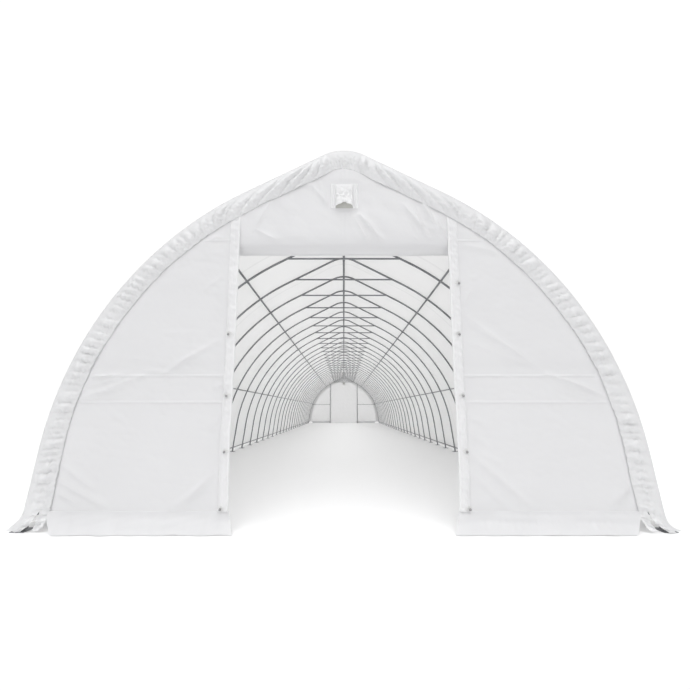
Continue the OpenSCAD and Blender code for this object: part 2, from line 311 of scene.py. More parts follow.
@dataclass(frozen=True)
class Crease:
    """A fold that runs from one point of the cloth to another, highest in its middle."""

    start: Pair
    end: Pair
    height: float
    width: float
    blunt: float = 0.2  # rounds the fold's back
    ends: Pair = (0.12, 0.88)  # part of the half sine that it uses

    def __call__(self, u: Array, v: Array) -> Array:
        """Height of the fold: a rounded tent across it, a half sine along it.

        Args:
            u: cloth coordinate in metres.
            v: cloth coordinate in metres, square to u.

        Returns:
            The fold's height, 0 far from it.
        """
        ax, ay = self.start
        dx, dy = self.end[0] - ax, self.end[1] - ay
        long2 = dx * dx + dy * dy
        t = ((u - ax) * dx + (v - ay) * dy) / long2
        off = ((u - ax) * dy - (v - ay) * dx) / math.sqrt(long2) / self.width
        past = (t - np.clip(t, 0, 1)) * math.sqrt(long2) / self.width
        across = np.exp(-np.sqrt(off * off + past * past + self.blunt**2) + self.blunt)
        low, high = self.ends
        return self.height * across * np.sin(math.pi * np.clip(low + (high - low) * t, 0, 1))


@dataclass(frozen=True)
class Strewn:
    """Short folds strewn over a piece of cloth; each pair holds the lowest and the highest value drawn."""

    count: int
    u: Pair
    v: Pair
    long: Pair
    height: Pair
    width: Pair
    stray: float | None = None  # of headings from level; without it, they are anything but level
    steep: float = 0.2

    def folds(self, rng: np.random.Generator) -> list[Crease]:
        """Draws the folds: a start, a heading, a length, a height and a width for each.

        Args:
            rng: the piece's random draws.

        Returns:
            The folds.
        """
        folds = []
        for _ in range(self.count):
            u, v = rng.uniform(*self.u), rng.uniform(*self.v)
            if self.stray is None:
                turn = rng.uniform(self.steep, math.pi - self.steep)
            else:
                turn = rng.normal(0, self.stray)
            long = rng.uniform(*self.long)
            end = u + long * math.cos(turn), v + long * math.sin(turn)
            folds.append(Crease((u, v), end, rng.uniform(*self.height), rng.uniform(*self.width)))
        return folds


def smooth(x: Array, low: float, high: float) -> Array:
    """0 below low, 1 above high, and a smooth step in between: 3 t squared less 2 t cubed."""
    t = np.clip((x - low) / (high - low), 0, 1)
    return t * t * (3 - 2 * t)


def bell(x: Array, width: float, middle: float = 0.0) -> Array:
    """A bell curve: 1 in its middle, and 0.37 a width away from it."""
    return np.exp(-(((x - middle) / width) ** 2))


def ridged(wave: Array, blunt: float) -> Array:
    """Waves turned up into ridges with rounded valleys: the root of the squared wave plus blunt."""
    return np.sqrt(wave**2 + blunt)


# --- the hall's section ---


@dataclass
class Section:
    """The arch's centre line: leg, shoulder bend, rafter and ridge bend, as in the construction model."""

    hall_w: float = 9.28
    leg_angle: float = math.radians(82.5)
    rafter_angle: float = math.radians(27.5)
    leg_h: float = 1.09
    bend_r: float = 5.45
    ridge_r: float = 0.7
    samples: int = 3000
    foot_x: float = field(init=False)

    def __post_init__(self) -> None:
        """Works out the corners of the centre line, and where its pieces start along it."""
        sl, cl = self.leg_dir = math.sin(self.leg_angle), math.cos(self.leg_angle)
        sr, cr = self.rafter_dir = math.sin(self.rafter_angle), math.cos(self.rafter_angle)
        self.foot_x = self.hall_w / 2 - TUBE_R / sl
        self.leg_top = np.array([self.foot_x - self.leg_h * cl / sl, self.leg_h])
        self.bend_c = self.leg_top - self.bend_r * np.array([sl, cl])
        self.rafter_foot = self.bend_c + self.bend_r * np.array([sr, cr])
        peak = self.rafter_foot[1] + self.rafter_foot[0] * sr / cr
        self.ridge_c = np.array([0.0, peak - self.ridge_r / cr])
        self.rafter_top = self.ridge_c + self.ridge_r * np.array([sr, cr])
        self.s_ridge = self.ridge_r * self.rafter_angle
        self.s_rafter = self.s_ridge + float(np.linalg.norm(self.rafter_foot - self.rafter_top))
        self.s_bend = self.s_rafter + self.bend_r * (self.leg_angle - self.rafter_angle)
        self.s_foot = self.s_bend + self.leg_h / sl

    def parts(self, a: Array, ridge: Array, rafter: Array, bend: Array,
              leg: Array) -> Array:
        """One value for each distance a from the ridge, taken from the part of the arch that it lies on."""
        ends = (self.s_ridge, self.s_rafter, self.s_bend)
        return np.select([a <= end for end in ends], [ridge, rafter, bend], leg)

    def at(self, s: Array, off: Array | float = 0.0) -> tuple[Array, Array]:
        """A point of the section: run s metres from the ridge along the centre line, then step out.

        Args:
            s: distance along the centre line, right side positive.
            off: distance outwards, square to the line.

        Returns:
            Its x and z.
        """
        nx, nz = self.outwards(s)
        a = np.abs(s)
        side = np.where(np.asarray(s) < 0, -1.0, 1.0)
        (sl, cl), (sr, cr) = self.leg_dir, self.rafter_dir
        ax = np.abs(nx)
        x = self.parts(a, self.ridge_r * ax, self.rafter_top[0] + (a - self.s_ridge) * cr,
                       self.bend_c[0] + self.bend_r * ax, self.leg_top[0] + (a - self.s_bend) * cl)
        z = self.parts(a, self.ridge_c[1] + self.ridge_r * nz, self.rafter_top[1] - (a - self.s_ridge) * sr,
                       self.bend_c[1] + self.bend_r * nz, self.leg_top[1] - (a - self.s_bend) * sl)
        return x * side + nx * off, z + nz * off

    def outwards(self, s: Array) -> tuple[Array, Array]:
        """The outward direction at s: the sine and cosine of an angle that grows as the centre line turns.

        Args:
            s: distance along the centre line, right side positive.

        Returns:
            Its x and z.
        """
        a = np.abs(s)
        angle = self.parts(a, a / self.ridge_r, self.rafter_angle,
                           self.rafter_angle + (a - self.s_rafter) / self.bend_r, self.leg_angle)
        return np.sin(angle) * np.where(np.asarray(s) < 0, -1.0, 1.0), np.cos(angle)

    def s_at_height(self, z: float) -> float:
        """Where the leg's centre line is at a height z."""
        return self.s_bend + (self.leg_h - z) / self.leg_dir[0]

    def half_width(self, z: Array, off: float) -> Array:
        """Half of the section's width at a height, measured to the line that lies off outside the arch."""
        x, zz = self.at(np.linspace(0, self.s_foot, self.samples), off)
        return np.interp(z, zz[::-1], x[::-1])

    def height(self, x: Array, off: float) -> Array:
        """Height of the line that lies off outside the arch, at a distance x from the middle."""
        xx, z = self.at(np.linspace(0, self.s_foot, self.samples), off)
        return np.interp(np.abs(x), xx, z)


SECTION = Section()
BOW_TURN = (SECTION.leg_angle - SECTION.rafter_angle) / 3  # angle of each of a shoulder's three bows


# --- finishes ---


class Nodes:
    """A small builder for shader nodes in one tree."""

    def __init__(self, tree: NodeTree) -> None:
        """Takes the tree and empties it."""
        self.tree = tree
        tree.nodes.clear()

    def add(self, kind: str, **values: object) -> Node:
        """Adds a node; a value named like one of the node's own is a setting, any other goes to an input.

        Args:
            kind: the node's type, without the leading ShaderNode.
            values: settings, and inputs by name with _ for a space, or by number as i0, i1 and so on.

        Returns:
            The node.
        """
        node = self.tree.nodes.new(kind if kind.startswith("Node") else "ShaderNode" + kind)
        settings = [key for key in values if hasattr(node, key)]
        for key in settings:
            setattr(node, key, values.pop(key))
        for key, value in values.items():
            socket = node.inputs[int(key[1:]) if key[1:].isdigit() else key.replace("_", " ")]
            if isinstance(value, NodeSocket):
                self.tree.links.new(value, socket)
            else:
                socket.default_value = value
        return node

    def math(self, operation: str, *values: object) -> NodeSocket:
        """The result of arithmetic on numbers or outputs."""
        inputs = {f"i{k}": value for k, value in enumerate(values)}
        return self.add("Math", operation=operation, **inputs).outputs[0]

    def scaled(self, vector: object, factor: object) -> NodeSocket:
        """A place or a colour times a number."""
        return self.add("VectorMath", operation="SCALE", i0=vector, Scale=factor).outputs[0]

    def remap(self, value: NodeSocket, low: float, high: float, to_low: float = 0.0,
              to_high: float = 1.0, soft: bool = False) -> NodeSocket:
        """Carries the range low to high over to another one, in a straight line or in a smooth step."""
        return self.add("MapRange", interpolation_type="SMOOTHSTEP" if soft else "LINEAR", Value=value,
                        From_Min=low, From_Max=high, To_Min=to_low, To_Max=to_high).outputs[0]


class Group(Nodes):
    """A builder for a node group whose sockets are all numbers."""

    def __init__(self, name: str, inputs: dict[str, float], outputs: tuple[str, ...]) -> None:
        """Makes the group.

        Args:
            name: the group's name.
            inputs: input names with their usual values.
            outputs: output names.
        """
        super().__init__(bpy.data.node_groups.new(name, "ShaderNodeTree"))
        for key in (*inputs, *outputs):
            way = "INPUT" if key in inputs else "OUTPUT"
            socket = self.tree.interface.new_socket(name=key, in_out=way, socket_type="NodeSocketFloat")
            socket.default_value = inputs.get(key, 0.0)
        self.given = self.add("NodeGroupInput").outputs

    def put_out(self, **results: NodeSocket) -> NodeTree:
        """Links the results to the group's outputs and gives the finished group."""
        self.add("NodeGroupOutput", **results)
        return self.tree


def weave_group() -> NodeTree:
    """Cloth relief: a fine crossed weave under the coating, small crinkles, and slow changes of tone.

    Height is the sum of a noise and three sines, one along each axis. Shade strays from 1 by another noise.

    Returns:
        The group.
    """
    usual = {"Threads per metre": 330.0, "Crinkle size": 9.0, "Crinkle": 0.6, "Tone": 0.03}
    make = Group("cloth_relief", usual, ("Height", "Shade"))
    thread_depth = 0.012
    place = make.add("TexCoord").outputs["Object"]
    axes = make.add("SeparateXYZ", Vector=make.scaled(place, make.given["Threads per metre"])).outputs
    waves = [make.math("SINE", axis) for axis in axes]
    threads = make.math("ADD", make.math("ADD", waves[0], waves[1]), waves[2])
    noise = make.add("TexNoise", Vector=place, Scale=make.given["Crinkle size"], Detail=5.0, Roughness=0.55,
                     Distortion=0.6)
    crinkle = make.math("MULTIPLY", noise.outputs[0], make.given["Crinkle"])
    slow = make.add("TexNoise", Vector=place, Scale=0.9, Detail=3.0, Roughness=0.6).outputs[0]
    tone = make.math("MULTIPLY", make.math("SUBTRACT", slow, 0.5), make.given["Tone"])
    return make.put_out(Height=make.math("ADD", make.math("MULTIPLY", threads, thread_depth), crinkle),
                        Shade=make.math("ADD", tone, 1.0))


def weld_group() -> NodeTree:
    """Welded overlaps: bands at even steps along the cloth coordinate v, with fine edge lines.

    The distance from the nearest middle of a band, less half a band's width, gives both masks.

    Returns:
        The group.
    """
    make = Group("weld_bands", {"Step": 2.0, "Start": 0.0, "Width": 0.05}, ("Band", "Line"))
    edge_soft, line_half = 0.003, 0.006
    cloth = make.add("UVMap", uv_map=UV_NAME).outputs[0]
    v = make.add("SeparateXYZ", Vector=cloth).outputs[1]
    turns = make.math("DIVIDE", make.math("SUBTRACT", v, make.given["Start"]), make.given["Step"])
    off = make.math("ABSOLUTE", make.math("SUBTRACT", make.math("FRACT", turns), 0.5))
    metres = make.math("MULTIPLY", off, make.given["Step"])
    gap = make.math("SUBTRACT", metres, make.math("MULTIPLY", make.given["Width"], 0.5))
    return make.put_out(Band=make.remap(gap, edge_soft, -edge_soft, soft=True),
                        Line=make.remap(make.math("ABSOLUTE", gap), line_half, 0.0, soft=True))


def zinc_group() -> NodeTree:
    """Galvanised steel: a patchwork of zinc crystals and slow dull stains.

    Tone is a crystal's own grey times the stain; where the stain is light, the zinc is smoother.

    Returns:
        The group.
    """
    make = Group("zinc", {"Crystal size": 90.0}, ("Tone", "Rough", "Height"))
    place = make.add("TexCoord").outputs["Object"]
    cells = make.add("TexVoronoi", Vector=place, Scale=make.given["Crystal size"])
    grey = make.add("SeparateXYZ", Vector=cells.outputs["Color"]).outputs[0]
    stain = make.add("TexNoise", Vector=place, Scale=2.4, Detail=4.0).outputs[0]
    tone = make.remap(grey, 0.0, 1.0, 0.88, 1.1), make.remap(stain, 0.3, 0.7, 0.85, 1.1)
    tone = make.math("MULTIPLY", *tone)
    return make.put_out(Tone=tone, Rough=make.remap(stain, 0.3, 0.7, 0.58, 0.4), Height=grey)


class Groups:
    """The node groups that several finishes share, each built once."""

    def __init__(self) -> None:
        """Builds the groups."""
        self.relief = weave_group()
        self.welds = weld_group()
        self.zinc = zinc_group()


def new_material(name: str) -> tuple[Material, Nodes]:
    """An empty material and the builder of its nodes."""
    mat = bpy.data.materials.new(name)
    mat.use_nodes = True
    return mat, Nodes(mat.node_tree)


@dataclass(frozen=True)
class CoatedCloth:
    """White coated cloth: a satin skin that lets part of the light through."""

    name: str
    color: tuple[float, float, float] = (0.86, 0.865, 0.87)
    glow: tuple[float, float, float] = (0.9, 0.895, 0.885)
    through: float = 0.4
    rough: float = 0.42
    crinkle: float = 0.6
    bump: float = 0.0035
    weld_step: float = 0.0
    weld_start: float = 0.0
    weld_band_shade: float = -0.05
    weld_line_shade: float = -0.09
    weld_height: float = 0.25

    def build(self, groups: Groups) -> Material:
        """Makes the material: a mix of a satin surface and one that passes light on to its other side.

        Args:
            groups: the shared node groups.

        Returns:
            The material.
        """
        mat, make = new_material(self.name)
        relief = make.add("Group", node_tree=groups.relief)
        relief.inputs["Crinkle"].default_value = self.crinkle
        shade, height = relief.outputs["Shade"], relief.outputs["Height"]
        if self.weld_step:
            weld = make.add("Group", node_tree=groups.welds)
            weld.inputs["Step"].default_value = self.weld_step
            weld.inputs["Start"].default_value = self.weld_start
            band, line = weld.outputs["Band"], weld.outputs["Line"]
            shade = make.math("MULTIPLY_ADD", line, self.weld_line_shade, shade)
            shade = make.math("MULTIPLY_ADD", band, self.weld_band_shade, shade)
            height = make.math("MULTIPLY_ADD", band, self.weld_height, height)
        bump = make.add("Bump", Strength=0.5, Distance=self.bump, Height=height).outputs[0]
        skin = make.add("BsdfPrincipled", Base_Color=make.scaled(self.color, shade), Roughness=self.rough,
                        IOR=1.45, Normal=bump)
        lit = make.add("BsdfTranslucent", Color=make.scaled(self.glow, shade), Normal=bump)
        both = make.add("MixShader", Fac=self.through, i1=skin.outputs[0], i2=lit.outputs[0])
        make.add("OutputMaterial", Surface=both.outputs[0])
        return mat


@dataclass(frozen=True)
class ZincSteel:
    """Galvanised steel tube and plate."""

    name: str
    color: tuple[float, float, float] = (0.27, 0.28, 0.29)
    metallic: float = 0.85

    def build(self, groups: Groups) -> Material:
        """Makes the material: dull metal whose crystals differ in tone.

        Args:
            groups: the shared node groups.

        Returns:
            The material.
        """
        mat, make = new_material(self.name)
        zinc = make.add("Group", node_tree=groups.zinc).outputs
        bump = make.add("Bump", Strength=0.15, Distance=0.0005, Height=zinc["Height"]).outputs[0]
        skin = make.add("BsdfPrincipled", Base_Color=make.scaled(self.color, zinc["Tone"]),
                        Metallic=self.metallic, Roughness=zinc["Rough"], Normal=bump)
        make.add("OutputMaterial", Surface=skin.outputs[0])
        return mat


@dataclass(frozen=True)
class Moulded:
    """Rope, rubber or plastic: one colour with a slow change of tone and a fine grain."""

    name: str
    color: tuple[float, float, float]
    rough: float = 0.6
    grain: float = 400.0

    def build(self, groups: Groups) -> Material:
        """Makes the material.

        Args:
            groups: the shared node groups.

        Returns:
            The material.
        """
        mat, make = new_material(self.name)
        relief = make.add("Group", node_tree=groups.relief)
        relief.inputs["Threads per metre"].default_value = self.grain
        tint = make.scaled(self.color, relief.outputs["Shade"])
        bump = make.add("Bump", Strength=0.3, Distance=0.001, Height=relief.outputs["Height"]).outputs[0]
        skin = make.add("BsdfPrincipled", Base_Color=tint, Roughness=self.rough, Normal=bump)
        make.add("OutputMaterial", Surface=skin.outputs[0])
        return mat


def cloth(name: str, color: tuple[float, float, float], through: float, crinkle: float) -> CoatedCloth:
    """A coated cloth without welded bands."""
    return CoatedCloth(name, color=color, through=through, crinkle=crinkle)


class Finishes:
    """All finishes of the hall."""

    def __init__(self) -> None:
        """Builds each finish once."""
        groups = Groups()
        roof = CoatedCloth("roof_cloth", through=0.5, crinkle=0.5, weld_step=2.17, weld_start=1.085)
        self.roof = roof.build(groups)
        self.wall = cloth("wall_cloth", (0.8, 0.8, 0.81), 0.12, 0.7).build(groups)
        # Painted light: the rear gables get a lighter, more translucent copy of the wall cloth, so the far
        # end looks brighter from inside the hall.
        self.thin = cloth("rear_lit_wall_cloth", (0.82, 0.823, 0.83), 0.42, 0.7).build(groups)
        self.skirt = cloth("skirt_cloth", (0.745, 0.746, 0.755), 0.1, 0.8).build(groups)
        self.hood = cloth("hood_cloth", (0.93, 0.932, 0.94), 0.2, 0.5).build(groups)
        self.bead = cloth("bead_cloth", (0.93, 0.93, 0.935), 0.08, 1.0).build(groups)
        self.hem = cloth("hem_cloth", (0.87, 0.87, 0.878), 0.12, 1.0).build(groups)
        self.band = cloth("band_cloth", (0.86, 0.862, 0.868), 0.15, 1.1).build(groups)
        self.steel = ZincSteel("zinc_steel").build(groups)
        self.bolts = ZincSteel("bolt_steel", color=(0.45, 0.45, 0.46), metallic=0.95).build(groups)
        # The drawstring's grey is partly the cord's own colour and partly painted shade for the dark line
        # along the band's hem.
        self.cord = Moulded("grey_cord_and_hem_shade", (0.7, 0.7, 0.71)).build(groups)
        self.white_cord = Moulded("white_cord", (0.8, 0.8, 0.79)).build(groups)
        # The net's grey is partly the vent net's own colour and partly painted shade: it fills the shaded
        # strip under the hood.
        self.net = Moulded("grey_net_and_shade", (0.58, 0.58, 0.55), rough=0.9, grain=700.0).build(groups)
        self.ball = Moulded("lacing_ball", (0.33, 0.33, 0.33), rough=0.4).build(groups)

    def wall_cloth(self, end: End) -> Material:
        """The gable's cloth: at the rear a lighter copy that lets more light through, painted light that
        brightens the far gable seen from inside.
        """
        return self.wall if end is End.FRONT else self.thin


def piece(name: str, shape: Shape, finish: Material, slot: Slot, *replaces: str,
          flat_shaded: bool = False) -> Object:
    """Puts a shape into the scene as one piece that rides on the hall.

    Args:
        name: the piece's name.
        shape: its mesh in arrays.
        finish: its material.
        slot: the record's material slot; not used.
        replaces: construction nodes that it stands for.
        flat_shaded: leaves the faces flat instead of smooth.

    Returns:
        The piece.
    """
    mesh = bpy.data.meshes.new(name)
    nq, nt = len(shape.quads), len(shape.tris)
    corners = np.concatenate([shape.quads.reshape(-1), shape.tris.reshape(-1)]).astype(np.int32)
    mesh.vertices.add(len(shape.verts))
    mesh.vertices.foreach_set("co", np.ascontiguousarray(shape.verts, np.float32).reshape(-1))
    mesh.loops.add(len(corners))
    mesh.loops.foreach_set("vertex_index", corners)
    mesh.polygons.add(nq + nt)
    starts = np.concatenate([np.arange(nq) * 4, nq * 4 + np.arange(nt) * 3]).astype(np.int32)
    mesh.polygons.foreach_set("loop_start", starts)
    mesh.update(calc_edges=True)
    layer = mesh.uv_layers.new(name=UV_NAME)
    layer.data.foreach_set("uv", shape.uv[corners].astype(np.float32).reshape(-1))
    mesh.validate()
    mesh.polygons.foreach_set("use_smooth", np.full(len(mesh.polygons), not flat_shaded))
    mesh.materials.append(finish)
    obj = bpy.data.objects.new(name, mesh)
    bpy.context.scene.collection.objects.link(obj)
    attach(obj, "root")
    if replaces:
        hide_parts(*replaces)
    LOG.info("%s: %d vertices, %d faces", name, len(mesh.vertices), len(mesh.polygons))
    return obj


# --- roof cover ---


@dataclass(frozen=True)
class FootBend:
    """How the cover leaves a leg for the ground: down the leg by drop, and then by the knee.

    The knee is a place above the ground, outwards of the leg's foot, that the curve heads for.
    """

    drop: float
    knee_out: float
    knee_z: float


FOOT_BENDS = {Side.LEFT: FootBend(0.13, 0.028, 0.15), Side.RIGHT: FootBend(0.23, 0.03, 0.062)}


@dataclass
class RoofCover:
    """The roof sheets, drawn tight over the arches and spread on the ground along both sides."""

    sheets: tuple[str, ...] = ("front", "middle", "rear")
    off: float = 0.0265  # distance from the arch's centre line
    front_y: float = END_Y + 0.031
    bay_steps: tuple[float, ...] = (0.0, 0.05, 0.14, 0.27, 0.42, 0.58, 0.73, 0.86, 0.95)
    row_gap: float = 0.01
    columns: int = 165
    crown_half: float = 0.42
    crown_columns: int = 21
    ridge_sag: float = 0.004
    rafter_sag: float = 0.013  # added to the hollows of the bays beside the ridge bend
    sag_ramp: float = 0.8
    shoulder_loss: float = 0.55  # share of the hollows that the shoulders take away
    shoulder_ramp: Pair = (-1.2, 0.5)
    slack: Ripple = Ripple(11, 0.0022, 0.9)
    crinkle: Ripple = Ripple(12, 0.0012, 0.33)
    arch_share: float = 0.25  # share of the small waves left over an arch
    rise_share: float = 0.4  # share of them above the arch's line
    skirt_z: float = 0.33
    skirt_out: float = 0.215
    foot_long: float = 0.44
    foot_rows: int = 15
    swing: Ripple = Ripple(21, 0.03, 1.0, 0.35, 9, UPRIGHT, 0.1)
    flutter: Ripple = Ripple(22, 0.008, 0.5, 0.25, 9, UPRIGHT, 0.1)
    swing_lift: float = 0.016
    flutter_lift: float = 0.01
    end_calm: float = 0.7  # the foot lies even this near to the hall's ends
    left_shift: float = 57.3  # of the left foot's waves along the hall

    @property
    def length(self) -> float:
        """Length of one sheet along the hall."""
        return 2 * self.front_y / len(self.sheets)

    def foot_path(self, t: Array, side: Side = Side.RIGHT) -> Array:
        """The spread foot: a cubic curve that leaves the leg's line and runs out on the ground.

        Args:
            t: 0 on the leg, 1 at the hem.
            side: side of the hall; the left foot turns out higher up.

        Returns:
            Rows of x and z on the right side.
        """
        bend = FOOT_BENDS[side]
        x0, z0 = SECTION.at(SECTION.s_at_height(self.skirt_z), self.off)
        down, along = SECTION.leg_dir
        return bezier(t, np.array([
            [x0, z0],
            [x0 + bend.drop * along / down, z0 - bend.drop],
            [SECTION.foot_x + bend.knee_out, bend.knee_z],
            [SECTION.foot_x + self.skirt_out, 2 * GROUND_LIFT],
        ], dtype=float))

    def foot_normal(self, t: Array, side: Side, step: float = 0.001) -> Array:
        """The foot's outward x and z: its slope between two places near t, turned by a quarter."""
        slope = self.foot_path(t + step, side) - self.foot_path(t - step, side)
        return slope[:, ::-1] * (-1, 1) / np.linalg.norm(slope, axis=1, keepdims=True)

    def rows(self, index: int) -> Array:
        """Where a sheet's rows of points lie along the hall: its edges, the gables and steps in every bay.

        Args:
            index: number of the sheet from the front.

        Returns:
            Their places along the hall, from the front.
        """
        low = -self.front_y + index * self.length
        high = low + self.length
        steps = (np.arange(ARCHES)[:, None] - (ARCHES - 1) / 2 + np.array(self.bay_steps)).reshape(-1) * BAY
        inner = steps[(steps > low + self.row_gap) & (steps < min(high, END_Y) - self.row_gap)]
        return np.unique(np.concatenate([[low, high], np.clip([-END_Y, END_Y], low, high), inner]))

    def offsets(self, arc: Array, y: Array) -> Array:
        """Distance of the cloth from the arches' centre line.

        Between two arches the cloth sinks by a parabola of the place in the bay, most of all on the rafters.
        Small uneven waves are added, least over the arches.

        Args:
            arc: places along the section.
            y: places along the hall.

        Returns:
            A row of distances for each place along the section.
        """
        bay = (y + END_Y) / BAY
        part = bay - np.floor(bay)
        hollow = np.where((bay > 0) & (bay < ARCHES - 1), 4 * part * (1 - part), 0.0)[None]
        a = np.abs(arc)[:, None]
        low, high = self.shoulder_ramp
        loss = self.shoulder_loss * smooth(a, SECTION.s_bend + low, SECTION.s_bend + high)
        slope = smooth(a, SECTION.s_ridge, SECTION.s_rafter + self.sag_ramp)
        depth = self.ridge_sag + self.rafter_sag * slope * (1 - loss)
        waves = self.slack(0, arc[:, None], y[None]) + self.crinkle(0, arc[:, None], y[None])
        drop = waves * (self.arch_share + (1 - self.arch_share) * hollow) - depth * hollow
        return self.off + np.minimum(drop, 0.0) + self.rise_share * np.maximum(drop, 0.0)

    def foot(self, side: Side, t: Array, y: Array,
             edge: Array) -> tuple[Array, Array]:
        """The spread foot of one side: it ripples more the nearer it is to its hem, where nothing holds it.

        Args:
            side: side of the hall.
            t: places on the foot's path.
            y: places along the hall.
            edge: how far the sheet lies off its even place where the foot begins.

        Returns:
            x and z of the foot.
        """
        path = self.foot_path(t, side)[:, :, None]
        loose = (t**1.5)[:, None]
        free = smooth(self.front_y - np.abs(y), 0.0, self.end_calm)[None]
        at = y[None] + (self.left_shift if side is Side.LEFT else 0.0)
        ripple = free * (self.swing(0, 0.0, at) + self.flutter(0, 0.0, at))
        x = path[:, 0] + edge * (1 - loose) + loose * ripple
        arched = self.swing_lift * 4 * loose * (1 - loose) * (1 + self.swing.unit(0, 0.0, at + 3.1)) / 2
        raised = self.flutter_lift * loose * np.maximum(self.flutter.unit(0, 0.0, at + 9), 0)
        return side.value * x, np.maximum(path[:, 1] + free * (arched + raised), GROUND_LIFT)

    def sheet(self, index: int) -> Shape:
        """One sheet: the section carried along the hall at the cloth's distance, with a foot on both sides.

        Args:
            index: number of the sheet from the front.

        Returns:
            The sheet's surface, outside up.
        """
        y = self.rows(index)
        edge = SECTION.s_at_height(self.skirt_z)
        s = np.unique(np.concatenate([np.linspace(-edge, edge, self.columns),
                                      np.linspace(-self.crown_half, self.crown_half, self.crown_columns)]))
        t = np.linspace(0, 1, self.foot_rows)
        run = run_length(self.foot_path(t))[1:]
        arc = np.concatenate([-(edge + run[::-1]), s, edge + run])
        off = self.offsets(arc, y)
        x, z = SECTION.at(s[:, None], off[len(run):-len(run)])
        rim = off[-len(run) - 1] - self.off
        (lx, lz), (rx, rz) = (self.foot(side, t[1:], y, rim) for side in Side)
        x = np.concatenate([lx[::-1], x, rx])
        z = np.concatenate([lz[::-1], z, rz])
        return grid(stacked(x, y[None], z), stacked(arc[:, None], y[None]))

    def build(self, finishes: Finishes) -> None:
        """Makes the three sheets.

        Args:
            finishes: all materials.
        """
        for index, name in enumerate(self.sheets):
            obj = piece(f"roof_sheet_{name}", self.sheet(index), finishes.roof, Slot.COVER, f"cover_{name}",
                        "side_skirt_left", "side_skirt_right")


# --- gable band ---


@dataclass
class GablePart:
    """A part of a gable; it is worked out for the front gable's right side, with the outside towards -Y."""

    end: End
    seed: int  # the random draws of its cloth start from here
    side: Side = Side.RIGHT

    def put(self, name: str, shape: Shape, finish: Material, slot: Slot, *nodes: str) -> Object:
        """Makes a piece on the part's own gable and side.

        Args:
            name: the piece's name after the gable's; where it ends in _, the side's name follows.
            shape: its mesh in arrays.
            finish: its material.
            slot: the record's material slot.
            nodes: construction nodes that it stands for, named likewise.

        Returns:
            The piece.
        """
        gable, side = self.end.name.lower(), self.side.name.lower()
        name, *nodes = (f"{gable}_{word}" + side * word.endswith("_") for word in (name, *nodes))
        flip = np.diag([self.side.value, self.end.value, 1.0])
        return piece(name, shape.turned(flip), finish, slot, *nodes)


